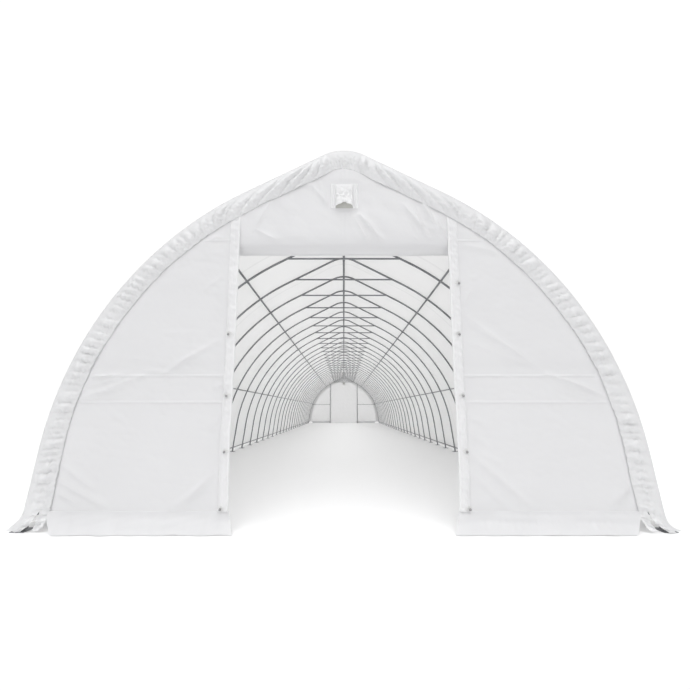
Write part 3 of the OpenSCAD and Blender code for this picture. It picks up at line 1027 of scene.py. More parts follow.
@dataclass
class HemBand(GablePart):
    """The roof cover's end, turned down over the gable and gathered by its drawstring."""

    cover: RoofCover = field(default_factory=RoofCover)
    top: float = 0.0285  # the lap's outside, off the arch's centre line
    lap_from: float = END_Y - 0.02
    corner_r: float = 0.014
    corner_columns: int = 5
    lap_columns: int = 3
    face_y: float = END_Y + 0.031
    face_gap: float = 0.002
    width: float = 0.315
    crown_loss: float = 0.012
    crown_half: float = 0.5
    foot_gain: float = 0.045
    foot_gain_from: float = -1.6
    rows: int = 1100
    face_columns: int = 26
    slow_edge: Ripple = Ripple(1, 0.005, 0.7)
    quick_edge: Ripple = Ripple(2, 0.002, 0.2)

    side_gaps: Pair = (0.08, 0.2)
    slope_gaps: Pair = (0.24, 0.42)
    slope_end: float = 2.3
    slope_count: int = 6
    slope_skew: float = 0.07
    ridge_half: float = 0.42
    ridge_gap: float = 0.075
    ridge_stray: float = 0.02
    puff_share: Pair = (0.35, 1.0)
    puff_gap: float = 0.14  # creases this far apart make a puff of full height
    puff_scale: Pair = (0.45, 1.6)
    puff: float = 0.053
    crown_calm: float = 0.2
    side_lean: float = 0.1
    slope_lean: float = 0.72
    lean_stray: Ripple = Ripple(9, 0.035, 1.1)
    wobble: Ripple = Ripple(8, 0.012, 0.16)

    bulge: float = 0.009
    bulge_stray: Ripple = Ripple(3, 0.3, 0.7)
    wrinkle: Ripple = Ripple(4, 0.0046, 0.1, 0.5, 12)
    crumple: Ripple = Ripple(5, 0.02, 0.2, 0.5, 10)
    crush: Ripple = Ripple(6, 0.016, 0.11, 0.4, 12)
    crush_blunt: float = 0.02
    crumple_z: Pair = (0.95, 0.25)
    hem_pull: float = 0.78  # share of the relief that the drawstring takes away
    hem_pull_from: float = 0.66
    hem_r: float = 0.0055
    cord_r: float = 0.0036
    cord_in: float = 0.0085

    split_z: float = 0.33
    foot_run: float = 0.4
    foot_rows: int = 34
    flap_columns: int = 24
    tail_columns: int = 16
    slit_at: float = 0.62
    slit_lean: float = 0.1
    slit_half: Pair = (0.025, 0.085)  # opened at once, and further down
    guide: tuple[Pair, ...] = ((0.01, -0.15), (0.03, 0.12), (0.02, 0.03))
    pleat: float = 0.03
    fold: float = 0.012

    def __post_init__(self) -> None:
        """Works out where the band leaves the leg's line for the ground, and its gathers."""
        self.s_split = SECTION.s_at_height(self.split_z)
        rng = np.random.default_rng(self.seed)
        reach = SECTION.s_foot + 0.5
        steps = rng.uniform(*self.side_gaps, int(2 * reach / self.side_gaps[0]))
        sides = np.cumsum(steps) - reach
        sides = sides[(np.abs(sides) >= self.slope_end) & (sides < reach)]
        ridge = np.arange(-self.ridge_half, self.ridge_half + 0.01, self.ridge_gap)
        ridge = ridge + rng.uniform(-self.ridge_stray, self.ridge_stray, len(ridge))
        slope = np.cumsum(rng.uniform(*self.slope_gaps, self.slope_count)) + self.ridge_half
        self.creases = np.sort(np.concatenate([sides, ridge, slope, -slope - self.slope_skew]))
        self.puffs = rng.uniform(*self.puff_share, len(self.creases) + 1)

    def gathers(self, s: Array, t: Array) -> Array:
        """Gathers: between two creases the cloth puffs up in half a wave, most of it near the hem.

        The creases lean: away from the hem they start nearer to the ridge or further from it.

        Args:
            s: place along the section.
            t: place across the face, 0 at the outer fold and 1 at the hem.

        Returns:
            Height of the cloth over its flat place, about 0 to 1.
        """
        a = np.abs(s)
        on_slope = smooth(a, 0.1, 0.8) * (1 - smooth(a, 1.2, 3.0))
        lean = np.sign(s) * (self.side_lean * smooth(a, 2.6, 3.6) - self.slope_lean * on_slope)
        lean = lean + self.lean_stray(self.seed, s)
        place = s - lean * (1 - t) + self.wobble(self.seed, s * 0.4, t)
        cell = np.clip(np.searchsorted(self.creases, place), 1, len(self.creases) - 1)
        low, high = self.creases[cell - 1], self.creases[cell]
        part = np.clip((place - low) / (high - low), 0, 1)
        size = self.puffs[cell] * np.clip((high - low) / self.puff_gap, *self.puff_scale)
        rise = smooth(t, 0.22 * (1 - self.puffs[cell]) - 0.12, 0.5)
        calm = 1 - self.crown_calm * (1 - smooth(a, 1.2, 2.6))
        return size * calm * np.sin(math.pi * part) ** 0.8 * rise

    def stand(self, s: Array, face: Array) -> Array:
        """How far the face stands off the gable: a soft bulge, the gathers, and crumples near the ground.

        Args:
            s: place along the section.
            face: place across the face.

        Returns:
            Distance towards the front.
        """
        seed, across = self.seed, face * self.width
        low = smooth(np.abs(s), *(SECTION.s_at_height(z) for z in self.crumple_z))
        tight = 1 - self.hem_pull * smooth(face, self.hem_pull_from, 1.0)
        bulge = self.bulge * np.sin(math.pi * np.clip(face, 0, 1)) ** 0.8
        bulge = bulge * (1 + self.bulge_stray(seed, s))
        gather = self.puff * self.gathers(s, face) * tight * (1 - 0.3 * low)
        wrinkle = self.wrinkle(seed, s, across) * smooth(face, 0.15, 0.6)
        crush = self.crush.height * ridged(self.crush.unit(seed, s, across), self.crush_blunt)
        crumple = low * smooth(face, 0.1, 0.8) * (np.abs(self.crumple(seed, s, across)) + crush)
        relief = smooth(face, 0.0, 0.15) * (bulge + gather + wrinkle + crumple * tight)
        return np.maximum(relief + self.face_gap, 0)

    def fold_over(self, rows: int) -> tuple[Array, Array]:
        """The lap on the roof and the quarter turn from it to the face.

        Args:
            rows: rows of the band's grid.

        Returns:
            Offsets from the arch's centre line, and distances towards the front.
        """
        lap = np.linspace(0, 1, self.lap_columns + 1)[:-1]
        turn = np.linspace(0, 1, self.corner_columns + 1)[:-1] * math.pi / 2
        off = np.concatenate([np.full(len(lap), self.top), self.top - self.corner_r * (1 - np.cos(turn))])
        y = np.concatenate([self.lap_from + lap * (self.face_y - self.corner_r - self.lap_from),
                            self.face_y - self.corner_r * (1 - np.sin(turn))])
        return np.broadcast_to(off, (rows, len(off))), np.broadcast_to(y, (rows, len(y)))

    def reach(self, s: Array) -> Array:
        """Width of the face along the section: narrower over the roof, wider at the feet, a little uneven."""
        uneven = self.slow_edge(self.seed, s) + self.quick_edge(self.seed, s)
        low = smooth(np.abs(s), SECTION.s_bend + self.foot_gain_from, SECTION.s_foot)
        return self.width - self.crown_loss * bell(s, self.crown_half) + uneven + self.foot_gain * low

    def body(self) -> tuple[Shape, Array]:
        """The band over the arch: a lap on the roof, a quarter turn, and the gathered face down to the hem.

        Returns:
            The band, and the line of points along its hem.
        """
        s = np.linspace(-self.s_split, self.s_split, self.rows)[:, None]
        face = np.broadcast_to(np.linspace(0, 1, self.face_columns), (self.rows, self.face_columns))
        fold_off, fold_y = self.fold_over(self.rows)
        off = np.concatenate([fold_off, self.top - self.corner_r - face * self.reach(s)], 1)
        y = np.concatenate([fold_y, self.face_y + self.stand(s, face)], 1)
        x, z = SECTION.at(s, off)
        across = run_length(np.stack([off[self.rows // 2], y[self.rows // 2]], 1))
        points = stacked(x, -y, z)
        return grid(points[:, ::-1], stacked(across[None], s)[:, ::-1]), points[:, -1]

    def leaf(self, side: Side, t: Array, face: Array, slit: Array, outer: bool) -> Shape:
        """One of the foot's two cloths, from the slit to the outer fold or to the hem.

        Rows run down. Straight lines join the cover's spread foot to a cubic curve that ends on the ground.
        Two sine waves pleat and fold the cloth, and it lifts off the ground beside the slit.

        Args:
            side: side of the hall.
            t: place down the foot, 0 to 1, one per row.
            face: places across the face.
            slit: its place in each row.
            outer: it has the lap and the turn to it.

        Returns:
            The cloth.
        """
        s = (self.s_split + self.foot_run * t) * side.value
        phase = np.random.default_rng(self.seed + (7 if side is Side.LEFT else 17)).uniform(0, 2 * math.pi, 2)
        path, normal = (f(t[:, 0], side)[:, :, None] for f in (self.cover.foot_path, self.cover.foot_normal))
        hem_off = self.top - self.corner_r - self.reach(np.array([[self.s_split * side.value]]))[0, 0]
        hx, hz = (float(v) for v in SECTION.at(np.array(self.s_split), hem_off))
        (x1, z1), (x2, z2), (x3, z3) = self.guide
        inner = np.array([[hx, hz], [hx + x1, hz + z1], [hx + x2, z2], [hx + x3, z3]])
        inner = bezier(t[:, 0], inner)[:, :, None]
        near_slit = bell(face - slit, 0.16)
        pleat = 0.5 + 0.5 * np.sin(2 * math.pi * (3.2 * face + 0.5 * t) + phase[0])
        fold = 0.5 + 0.5 * np.sin(2 * math.pi * (6.5 * face - 0.8 * t) + phase[1])
        y = self.face_y + self.stand(np.broadcast_to(s, face.shape), face)
        y = y + smooth(t, 0.0, 0.7) * (self.pleat * pleat + self.fold * fold) * smooth(face, 0.05, 0.35)
        y = y + 0.03 * (t**1.5 * near_slit + t**2 * smooth(face, 0.0, 0.4))
        rim = path + normal * (self.top - self.corner_r - self.cover.off)
        x, z = (rim[:, k] * (1 - face) + inner[:, k] * face for k in (0, 1))
        lift = 0.01 * near_slit + 0.008 * fold * smooth(face, 0.1, 0.5) + 0.035 * smooth(face, 0.86, 1.0)
        z = z + t**3 * lift
        if outer:
            fold_off, fold_y = self.fold_over(len(t))
            fold_x, fold_z = (path[:, k] + normal[:, k] * (fold_off - self.cover.off) for k in (0, 1))
            x, y, z = (np.concatenate(pair, 1) for pair in ((fold_x, x), (fold_y, y), (fold_z, z)))
        points = stacked(x * side.value, -y, np.maximum(z, GROUND_LIFT))
        uv = stacked(np.linspace(0, 0.4, x.shape[1])[None], s)
        down = -1 if side is Side.LEFT else 1
        return grid(points[::down, ::-1], uv[::down, ::-1])

    def foot(self, side: Side) -> list[Shape]:
        """The band's foot: it fans out from the leg to the ground, with a slit between flap and tail.

        Args:
            side: side of the hall.

        Returns:
            The flap outside the slit and the tail inside it.
        """
        t = np.linspace(0, 1, self.foot_rows)[:, None]
        quick, slow = self.slit_half
        gap = quick * smooth(t, 0.0, 0.12) + slow * smooth(t, 0.1, 0.6)
        slit = self.slit_at + self.slit_lean * (1 - t)
        rest = slit + gap
        flap = (slit - gap) * np.linspace(0, 1, self.flap_columns)
        tail = rest + (1 - rest) * np.linspace(0, 1, self.tail_columns)
        return [self.leaf(side, t, flap, slit, True), self.leaf(side, t, tail, slit, False)]

    def hem(self, line: Array) -> tuple[Shape, Shape]:
        """The rolled hem along the band's inner edge, and the drawstring that shows beside it; the
        drawstring's grey is partly its own colour and partly painted shade for the dark line in the gap
        between band and panel.

        Args:
            line: the points of the hem.

        Returns:
            The hem's roll and the drawstring, which lies beyond it and halfway back to the panel.
        """
        x, z = SECTION.at(np.linspace(-self.s_split, self.s_split, len(line)))
        out = np.stack([x, z], 1) - line[:, [0, 2]]
        cord = line.copy()
        cord[:, [0, 2]] -= self.cord_in * out / np.linalg.norm(out, axis=1, keepdims=True)
        cord[:, 1] = 0.5 * cord[:, 1] - 0.5 * (self.face_y + 0.004)
        return tube(line, self.hem_r, 8), tube(cord[::2], self.cord_r, 6)

    def build(self, finishes: Finishes) -> None:
        """Makes the band, its hem and its drawstring.

        Args:
            finishes: all materials.
        """
        body, line = self.body()
        body = joined([body, *self.foot(Side.RIGHT), *self.foot(Side.LEFT)])
        band = self.put("band", body, finishes.band, Slot.COVER, "hem_band")
        roll, cord = self.hem(line)
        hem = self.put("band_hem", roll, finishes.band, Slot.COVER)
        # The drawstring sits in the gap between band and panel; its grey is partly painted shade there.
        string = self.put("drawstring", cord, finishes.cord, Slot.HEM)


# --- gable walls ---

# Tension folds of the two panels. Each has its start and its end in centimetres, as distances from the
# middle and from the ground, and then its height and width in millimetres.
PANEL_FOLDS = {
    Side.LEFT: [
        (396, 188, 301, 224, 16, 30), (392, 205, 331, 222, 10, 22), (385, 190, 330, 206, 12, 25),
        (384, 220, 324, 227, 8, 20), (267, 230, 190, 278, 11, 35), (271, 224, 227, 255, 10, 25),
        (305, 232, 260, 226, 8, 25), (421, 74, 344, 34, 10, 35), (418, 97, 365, 60, 9, 35),
        (422, 57, 380, 36, 9, 25), (236, 32, 181, 88, 10, 35), (250, 29, 216, 57, 7, 30),
        (265, 428, 220, 440, 12, 35), (245, 440, 195, 445, 10, 30), (217, 358, 187, 382, 7, 40),
        (306, 286, 229, 290, 6, 40), (198, 142, 181, 164, 7, 30), (195, 205, 180, 210, 10, 25),
    ],
    Side.RIGHT: [
        (184, 320, 305, 224, 13, 35), (184, 278, 279, 239, 9, 35), (195, 302, 269, 255, 8, 25),
        (305, 226, 392, 194, 16, 28), (330, 218, 399, 188, 12, 22), (318, 203, 393, 183, 9, 22),
        (179, 166, 217, 146, 9, 30), (180, 142, 212, 120, 8, 30), (177, 117, 272, 32, 11, 35),
        (177, 88, 236, 32, 8, 30), (376, 29, 427, 71, 10, 35), (399, 39, 430, 95, 9, 30),
        (190, 432, 260, 416, 10, 35), (200, 360, 184, 330, 6, 30), (205, 202, 180, 190, 8, 25),
        (230, 95, 195, 110, 6, 30),
    ],
}
FOLD_STRENGTH = {Side.LEFT: 2.6, Side.RIGHT: 1.9}


def listed(rows: list[tuple[int, ...]]) -> list[Crease]:
    """The folds of a table."""
    return [Crease((a / 100, b / 100), (c / 100, d / 100), high / 1000, wide / 1000)
            for a, b, c, d, high, wide in rows]


@dataclass
class GableWall(GablePart):
    """The fixed panels on both sides of a doorway, with their skirts on the ground."""

    inner_x: float = 1.76
    low_z: float = 0.262
    rows: int = 160
    row_bias: float = 0.96  # below 1 the rows lie closer at the top
    columns: int = 96
    seams: tuple[float, ...] = (1.832, 2.228, 4.395)
    seam_height: float = 0.009
    seam_ramps: tuple[float, ...] = (-0.024, -0.012, 0.01, 0.022)  # where a seam rises and falls
    seam_rows: tuple[float, ...] = (-0.026, -0.021, -0.016, -0.011, 0.009, 0.014, 0.019, 0.024)
    billow: Ripple = Ripple(1, 0.006, 1.3)
    slack: Ripple = Ripple(2, 0.0022, 0.42)
    wrinkle: Ripple = Ripple(3, 0.0011, 0.13, slant=UPRIGHT, stray=0.6)
    short_folds: Strewn = Strewn(
        44, (1.9, 4.0), (0.35, 3.9), (0.15, 0.6), (0.002, 0.006), (0.015, 0.035), stray=0.7)
    low_fold_z: float = 1.3
    low_fold_gain: float = 1.5
    calm_edge: Pair = (0.315, 0.43)  # the relief fades between these distances from the arch
    calm_low: float = 0.045  # and this much further in by the ground
    calm_door: float = 0.12

    skirt_gap: float = 0.0045
    skirt_z: float = 0.276
    skirt_long: float = 0.36
    skirt_out: float = 0.185
    skirt_top_x: Pair = (1.655, 4.25)
    skirt_low_x: Pair = (1.535, 4.02)
    skirt_lip: float = 0.009
    skirt_lip_rows: tuple[float, ...] = (0, 0.012, 0.024, 0.036, 0.05, 0.07)
    skirt_rows: int = 17
    skirt_columns: int = 160
    wave: Ripple = Ripple(7, 0.008, 0.6, 0.5, 9, 0.0, 0.1)
    small: Ripple = Ripple(8, 0.001, 0.15, 0.5, 9, 0.0, 0.15)
    cross: Ripple = Ripple(9, 0.0045, 0.22, 0.5, 10, UPRIGHT, 0.16)

    def folds(self) -> list[Crease]:
        """Tension folds in the panel: fans from its corners and short ones strewn over it.

        Returns:
            The folds.
        """
        folds = self.short_folds.folds(np.random.default_rng(self.seed))
        for fold in listed(PANEL_FOLDS[self.side]):
            gain = self.low_fold_gain if max(fold.start[1], fold.end[1]) < self.low_fold_z else 1.0
            folds.append(replace(fold, height=FOLD_STRENGTH[self.side] * gain * fold.height))
        return folds

    def relief(self, x: Array, z: Array) -> Array:
        """How far the panel stands out: slow billows, folds, and stepped seams.

        It fades out at the doorway and under the band. The distance from the arch is the height of the
        triangle between the level and the upright way to it.

        Args:
            x: distance from the middle.
            z: height.

        Returns:
            Distance towards the front.
        """
        waves = (self.billow, self.slack, self.wrinkle)
        out = self.billow.height + sum(wave(self.seed, x, z) for wave in waves)
        out = out + sum(fold(x, z) for fold in self.folds())
        for seam in self.seams:
            a, b, c, d = (seam + ramp for ramp in self.seam_ramps)
            out = out + self.seam_height * (smooth(z, a, b) - smooth(z, c, d))
        level, upright = SECTION.half_width(z, 0.02) - x, np.maximum(SECTION.height(x, 0.02) - z, 1e-4)
        edge = level * upright / np.hypot(level, upright) - self.calm_low * (1 - smooth(z, 0.2, 1.6))
        door = smooth(x, self.inner_x, self.inner_x + self.calm_door)
        return np.maximum(out, 0) * smooth(edge, *self.calm_edge) * door

    def panel(self) -> Shape:
        """Rows of constant height from the doorway to the arch, stood out by the relief.

        Returns:
            The panel, facing the front.
        """
        top = float(SECTION.height(np.array(self.inner_x + 0.02), WALL_OFF))
        even = np.linspace(0, 1, self.rows) ** self.row_bias * (top - self.low_z) + self.low_z
        by_seams = np.array(self.seams)[:, None] + np.array(self.seam_rows)
        z = np.sort(np.concatenate([even, by_seams.ravel()]))[:, None]
        x = self.inner_x + np.linspace(0, 1, self.columns) * (SECTION.half_width(z, WALL_OFF) - self.inner_x)
        z = np.broadcast_to(z, x.shape)
        y = WALL_Y + self.relief(x, z)
        return grid(stacked(x, -y, z)[:, ::-1], stacked(x, z)[:, ::-1])

    def skirt(self) -> Shape:
        """The skirt: t runs from its seam on the panel down and forward to the ground.

        The section is a shallow hollow curve; its hem waves in and out and lifts here and there.

        Returns:
            The skirt, facing the front.
        """
        t = np.concatenate([self.skirt_lip_rows, np.linspace(0.1, 1, self.skirt_rows)])[:, None]
        (top_in, top_out), (low_in, low_out) = self.skirt_top_x, self.skirt_low_x
        inner = top_in + (low_in - top_in) * t**1.15
        outer = top_out + (low_out - top_out) * t**1.8
        x = inner + (outer - inner) * np.linspace(0, 1, self.skirt_columns)
        seed, level, bow = self.seed, 0 * t, np.sin(math.pi * t)
        out = self.skirt_out * (0.3 * t + 0.7 * t**1.7) + self.skirt_lip * smooth(t, 0.0, 0.04)
        out = out + t**2 * (self.wave(seed, x, level) + self.small(seed, x, level))
        out = out + 0.4 * self.small(seed, x, t * 0.2 + 5)
        out = out + bow * (0.75 * self.wave(seed, x + 3, level) + self.cross(seed, x, 0.33 * t))
        z = self.skirt_z * (1 - t) + 3 * bow * self.small(seed, x + 4, level)
        z = z + t**8 * (0.01 + 0.5 * np.maximum(self.wave(seed, x + 7, level), 0))
        y = WALL_Y + self.skirt_gap + out
        return grid(stacked(x, -y, np.maximum(z, GROUND_LIFT)), stacked(x, t * self.skirt_long))

    def build(self, finishes: Finishes) -> None:
        """Makes the panel and its skirt.

        Args:
            finishes: all materials.
        """
        wall = self.put("panel_", self.panel(), finishes.wall_cloth(self.end), Slot.COVER, "wall_")
        skirt = self.put("skirt_", self.skirt(), finishes.skirt, Slot.COVER, "skirts")


# --- doorways ---

# Where the lacing balls sit on the two hems: distance from the middle, and height.
LACING = {
    Side.LEFT: [(1.768, 2.862), (1.757, 1.923), (1.75, 1.105), (1.775, 0.3)],
    Side.RIGHT: [(1.797, 3.675), (1.768, 2.862), (1.787, 1.923), (1.804, 1.105), (1.81, 0.3)],
}
SECOND_LAYER_Z = {Side.LEFT: 3.7, Side.RIGHT: 2.84}  # the hem is doubled below this height


@dataclass
class DoorHem(GablePart):
    """The reinforced strip down the side of a doorway, folded round the edge of the panel."""

    low_z: float = 0.262
    edge_x: float = 1.655
    edge_bow: float = 0.02
    edge_bow_z: Pair = (0.85, 1.1)  # half height and middle of the bow
    edge_stray: Ripple = Ripple(0, 0.003, 0.8)
    rows: int = 260
    curl_rows: int = 6
    curl_r: Pair = (0.011, 0.013)
    flat_columns: int = 26
    flat_to: float = 0.157
    height: float = 0.026
    wrinkle: Ripple = Ripple(1, 0.0042, 0.12, 0.6, 12, 0.2, 0.6)
    slow: Ripple = Ripple(2, 0.0035, 0.45)
    layer: float = 0.0075
    stitch: tuple[tuple[float, ...], ...] = ((0.004, 0.005, 0.066), (0.003, 0.004, 0.118))  # depth, width, at
    pull: float = 0.009
    pull_size: Pair = (0.03, 0.045)
    step_down: float = 0.003
    gap: float = 0.0015
    roof_clear: float = 0.3  # the strip lies flat this near to the arch, under the band
    roof_ramp: Pair = (-0.02, 0.16)
    bead_x: float = 0.016
    bead_r: float = 0.017
    bead_points: int = 150
    bead_swell: Ripple = Ripple(6, 0.0015, 0.14)
    ball_r: float = 0.019
    cord_r: float = 0.0042

    def inner_edge(self, z: Array) -> Array:
        """Distance of the strip's inner edge from the middle: it bows a little outwards near the ground."""
        return self.edge_x + self.edge_bow * bell(z, *self.edge_bow_z) + self.edge_stray(self.seed, z)

    def under_roof(self, x: Array, z: Array) -> Array:
        """1 where the strip is free, 0 where it lies under the band."""
        return smooth(SECTION.height(x, -self.roof_clear) - z, *self.roof_ramp)

    def surface(self) -> Shape:
        """The strip: a section that curls back at its inner edge, run up the doorway.

        The section is a half round at the inner edge, a flat, a stitched groove, a second flat and a step
        down to the panel. Round each lacing ball the cloth is pulled in by a bell curve of the distance.

        Returns:
            The surface, facing the front.
        """
        turn = np.linspace(0, 1, self.curl_rows + 1)[:-1] * math.pi
        curl_x, curl_y = self.curl_r
        flat = np.linspace(curl_x, self.flat_to, self.flat_columns)
        across = np.concatenate([curl_x * (1 - np.sin(turn)), flat])
        deep = np.concatenate([curl_y * (1 - np.cos(turn)), np.full(self.flat_columns, self.height)])
        top = SECTION.height(self.inner_edge(np.array(5.1)) + across, 0.01)
        w = np.linspace(0, 1, self.rows)[:, None]
        z = top * (1 - w) + self.low_z * w
        x = self.inner_edge(z) + across
        flat = across - curl_x
        second = self.layer * smooth(SECOND_LAYER_Z[self.side] - z, -0.02, 0.03) * (
            smooth(flat, 0.1, 0.112) * (1 - smooth(flat, 0.128, 0.134)))
        groove = sum(depth * bell(flat, wide, at) for depth, wide, at in self.stitch)
        wide, high = self.pull_size
        pull = sum(self.pull * bell(x, wide, lx) * bell(z, high, lz) for lx, lz in LACING[self.side])
        relief = self.wrinkle(self.seed, z, flat) + self.slow(self.seed, z, flat) + second - groove - pull
        stand = deep + smooth(flat, 0.0, 0.015) * relief
        edge = smooth(flat, 0.14, 0.146)
        stand = np.maximum(stand * (1 - edge) + self.step_down * edge, 0.0005)
        stand = self.gap + (stand - self.gap) * self.under_roof(x, z)
        return grid(stacked(x, -(WALL_Y + stand), z), stacked(across, z))

    def bead(self) -> Shape:
        """The rope in the strip's inner edge: a tube down the edge that swells and shrinks a little.

        Returns:
            The rope.
        """
        top = float(SECTION.height(np.array(1.66), -0.22))
        z = np.linspace(top, self.low_z + 0.005, self.bead_points)
        swell = self.bead_swell(self.seed, z)
        x = self.inner_edge(z) + self.bead_x
        free = self.under_roof(x, z)
        y = 0.014 * (1 - free) - WALL_Y - 0.016 - swell
        return tube(np.stack([x, y, z], 1), (self.bead_r + swell) * (0.25 + 0.75 * free), 12)

    def lacing(self) -> tuple[Shape, Shape]:
        """The lacing balls, half a ball carried round each, and their two turns of cord.

        Returns:
            The balls, and the cords.
        """
        up = np.linspace(-math.pi / 2, math.pi / 2, 9)
        ball = disc_stack([(self.ball_r * math.cos(a), self.ball_r * math.sin(a)) for a in up], 14)
        turn = np.linspace(0, 2 * math.pi, 16, endpoint=False)
        wide = stacked(-0.034 + 0.032 * np.cos(turn), 0.006 * np.cos(turn), 0.01 + 0.02 * np.sin(turn))
        high = stacked(-0.012 + 0.02 * np.cos(turn), 0.004, 0.024 + 0.022 * np.sin(turn))
        loop = joined([tube(path, self.cord_r, 6, closed=True) for path in (wide, high)])
        at = np.array([(x, -WALL_Y - 0.036, z) for x, z in LACING[self.side]])
        return ball.repeated(at), loop.repeated(at)

    def build(self, finishes: Finishes) -> None:
        """Makes the strip, its bead and its lacing.

        Args:
            finishes: all materials.
        """
        balls, loops = self.lacing()
        strip = self.put("door_hem_", self.surface(), finishes.hem, Slot.HEM, "door_hems")
        bead = self.put("door_bead_", self.bead(), finishes.bead, Slot.HEM)
        ball = self.put("lacing_balls_", balls, finishes.ball, Slot.HEM)
        cord = self.put("lacing_loops_", loops, finishes.white_cord, Slot.HEM)


# Folds of the rolled-up curtain's upper part, listed like PANEL_FOLDS.
HEADER_FOLDS = [
    (107, 504, 134, 442, 10, 30), (124, 515, 153, 439, 10, 28), (97, 501, 122, 466, 7, 25),
    (149, 480, 164, 432, 8, 22), (26, 483, 73, 425, 8, 28), (23, 487, 58, 439, 6, 22),
    (16, 480, 45, 425, 6, 22), (-39, 539, -22, 490, 6, 20), (-52, 536, -26, 501, 5, 22),
    (109, 449, 137, 419, 6, 22), (-141, 459, -95, 432, 6, 28), (-120, 505, -145, 455, 5, 30),
]


@dataclass
class DoorCurtain(GablePart):
    """The doorway's curtain: rolled up at the front, let down at the rear."""

    half: float = 1.738
    gap: float = 0.0015  # it hangs this far behind the panels' face
    columns: int = 173
    rows: int = 190
    header_rows: int = 90
    low_z: float = 0.036
    long: float = 5.9
    header_gain: Pair = (4.2, 1.2)  # of the folds' height and width
    billow: Ripple = Ripple(1, 0.004, 1.1)
    slack: Ripple = Ripple(2, 0.0034, 0.35, 0.5, 12, 0.7, 0.4)
    wrinkle: Ripple = Ripple(3, 0.0006, 0.12)
    corner: Ripple = Ripple(9, 0.012, 0.17, 0.4, 10, 0.5, 0.3)
    corner_at: Pair = (1.42, 4.5)
    corner_size: float = 0.3
    strewn: Strewn = Strewn(46, (-1.6, 1.5), (0.2, 5.2), (0.25, 0.8), (0.002, 0.007), (0.02, 0.05))
    seam_height: float = 0.0045
    seam_half: float = 0.048
    vent_half: float = 0.115
    vent_z: float = 5.168
    roll_r: float = 0.139
    core_r: float = 0.0225
    pitch: float = 0.014
    roll_front: tuple[float, int] = (1.3, 42)  # the turns that show, and their rows
    roll_rows: int = 14  # rows of each other turn
    lump: Ripple = Ripple(5, 0.0028, 0.9)
    dent: Ripple = Ripple(6, 0.0015, 0.25)
    roll_corner: Ripple = Ripple(9, 0.006, 0.13, 0.4, 10, 0.5, 0.3)
    roll_corner_size: float = 0.22
    roll_slack: float = 0.003
    bar_half: float = 1.71
    bar_z: float = 0.019
    sleeve_r: float = 0.0172
    sleeve_sag: Ripple = Ripple(8, 0.0008, 0.3)

    def relief(self, x: Array, z: Array) -> Array:
        """How far the hanging part stands out: billows, folds, a double seam in its middle.

        Behind the vent hood it stays nearly flat.

        Args:
            x: place across.
            z: height.

        Returns:
            Distance towards the front.
        """
        waves = (self.billow, self.slack, self.wrinkle)
        out = self.billow.height + sum(wave(self.seed, x, z) for wave in waves)
        if self.end is End.FRONT:
            high, wide = self.header_gain
            folds = [replace(fold, height=high * fold.height, width=wide * fold.width)
                     for fold in listed(HEADER_FOLDS)]
            cx, cz = self.corner_at
            near = bell(x, self.corner_size, cx) * bell(z, self.corner_size, cz)
            out = out + near * np.abs(self.corner(self.seed, x, z))
        else:
            folds = self.strewn.folds(np.random.default_rng(self.seed))
        out = out + sum(fold(x, z) for fold in folds)
        half, step = self.seam_half, 0.012
        seam = smooth(x, -half, step - half) - smooth(x, half - step, half) - bell(x, 0.01)
        out = out + self.seam_height * seam
        hood = smooth(np.abs(x), 0.2, 0.34) + smooth(z, 5.38, 5.48) + smooth(4.9 - z, 0.0, 0.1)
        return np.maximum(out, 0) * np.clip(hood, 0.12, 1)

    def hanging(self, low: float, rows: int, x: Array) -> Array:
        """The part that hangs from the arch down to a height.

        Args:
            low: its lowest height.
            rows: rows of its grid.
            x: places across, one per column.

        Returns:
            The grid's points, with y towards the front.
        """
        top = SECTION.height(x, WALL_OFF)
        w = np.linspace(0, 1, rows)[:, None]
        z = top * (1 - w) + low * w
        calm = smooth(z, low, low + 0.12) * smooth(top - z, 0.0, 0.25)
        x = np.broadcast_to(x, z.shape)
        return stacked(x, WALL_Y - self.gap + self.relief(x, z) * calm, z)

    def rolled(self, x: Array) -> Array:
        """The roll: a spiral of even pitch that starts at the roll's front and winds down and under.

        Every turn carries the same soft lumps and slanting wrinkles, less the nearer it is to the core.

        Args:
            x: places across.

        Returns:
            The grid's points, with y towards the front.
        """
        turns = (self.roll_r - self.core_r) / self.pitch
        shown, rows = self.roll_front
        rest = np.linspace(shown, turns, int(turns * self.roll_rows))
        phi = 2 * math.pi * np.concatenate([np.linspace(0, shown, rows)[1:-1], rest])[:, None]
        even = self.roll_r - self.pitch * phi / (2 * math.pi)
        round_y, round_z = np.cos(phi), np.sin(phi)
        lump = self.lump(self.seed, x, 0.15 * round_y)
        lump = lump + self.dent(self.seed, x + 0.1 * round_y, 0.14 * round_z)
        corner = bell(x, self.roll_corner_size, self.corner_at[0])
        lump = lump - corner * np.abs(self.roll_corner(self.seed, x, 0.14 * round_z))
        dip = np.minimum(lump, self.roll_slack) - self.roll_slack
        r = even + smooth(phi, 0.0, 1.2) * dip * (even / self.roll_r)
        return stacked(x, WALL_Y - self.gap - self.roll_r + r * round_y, ROLL_Z - r * round_z)

    def surface(self) -> Shape:
        """The whole curtain from the arch down, with the hole behind the vent hood left out.

        Returns:
            The curtain, facing the front.
        """
        x = np.linspace(-self.half, self.half, self.columns)
        if self.end is End.FRONT:
            points = np.concatenate([self.hanging(ROLL_Z, self.header_rows, x), self.rolled(x)])
        else:
            points = self.hanging(self.low_z, self.rows, x)
        points = points * (1, -1, 1)
        along = run_length(points[:, self.columns // 2])
        skin = grid(points, stacked(points[..., 0], along[:, None]))
        middle = skin.verts[skin.quads].mean(1)
        across, high = np.abs(middle[:, 0]), np.abs(middle[:, 2] - self.vent_z)
        hole = (across < self.vent_half) & (high < self.vent_half) & (middle[:, 1] < -END_Y)
        return Shape(skin.verts, skin.quads[~hole], skin.tris, skin.uv)

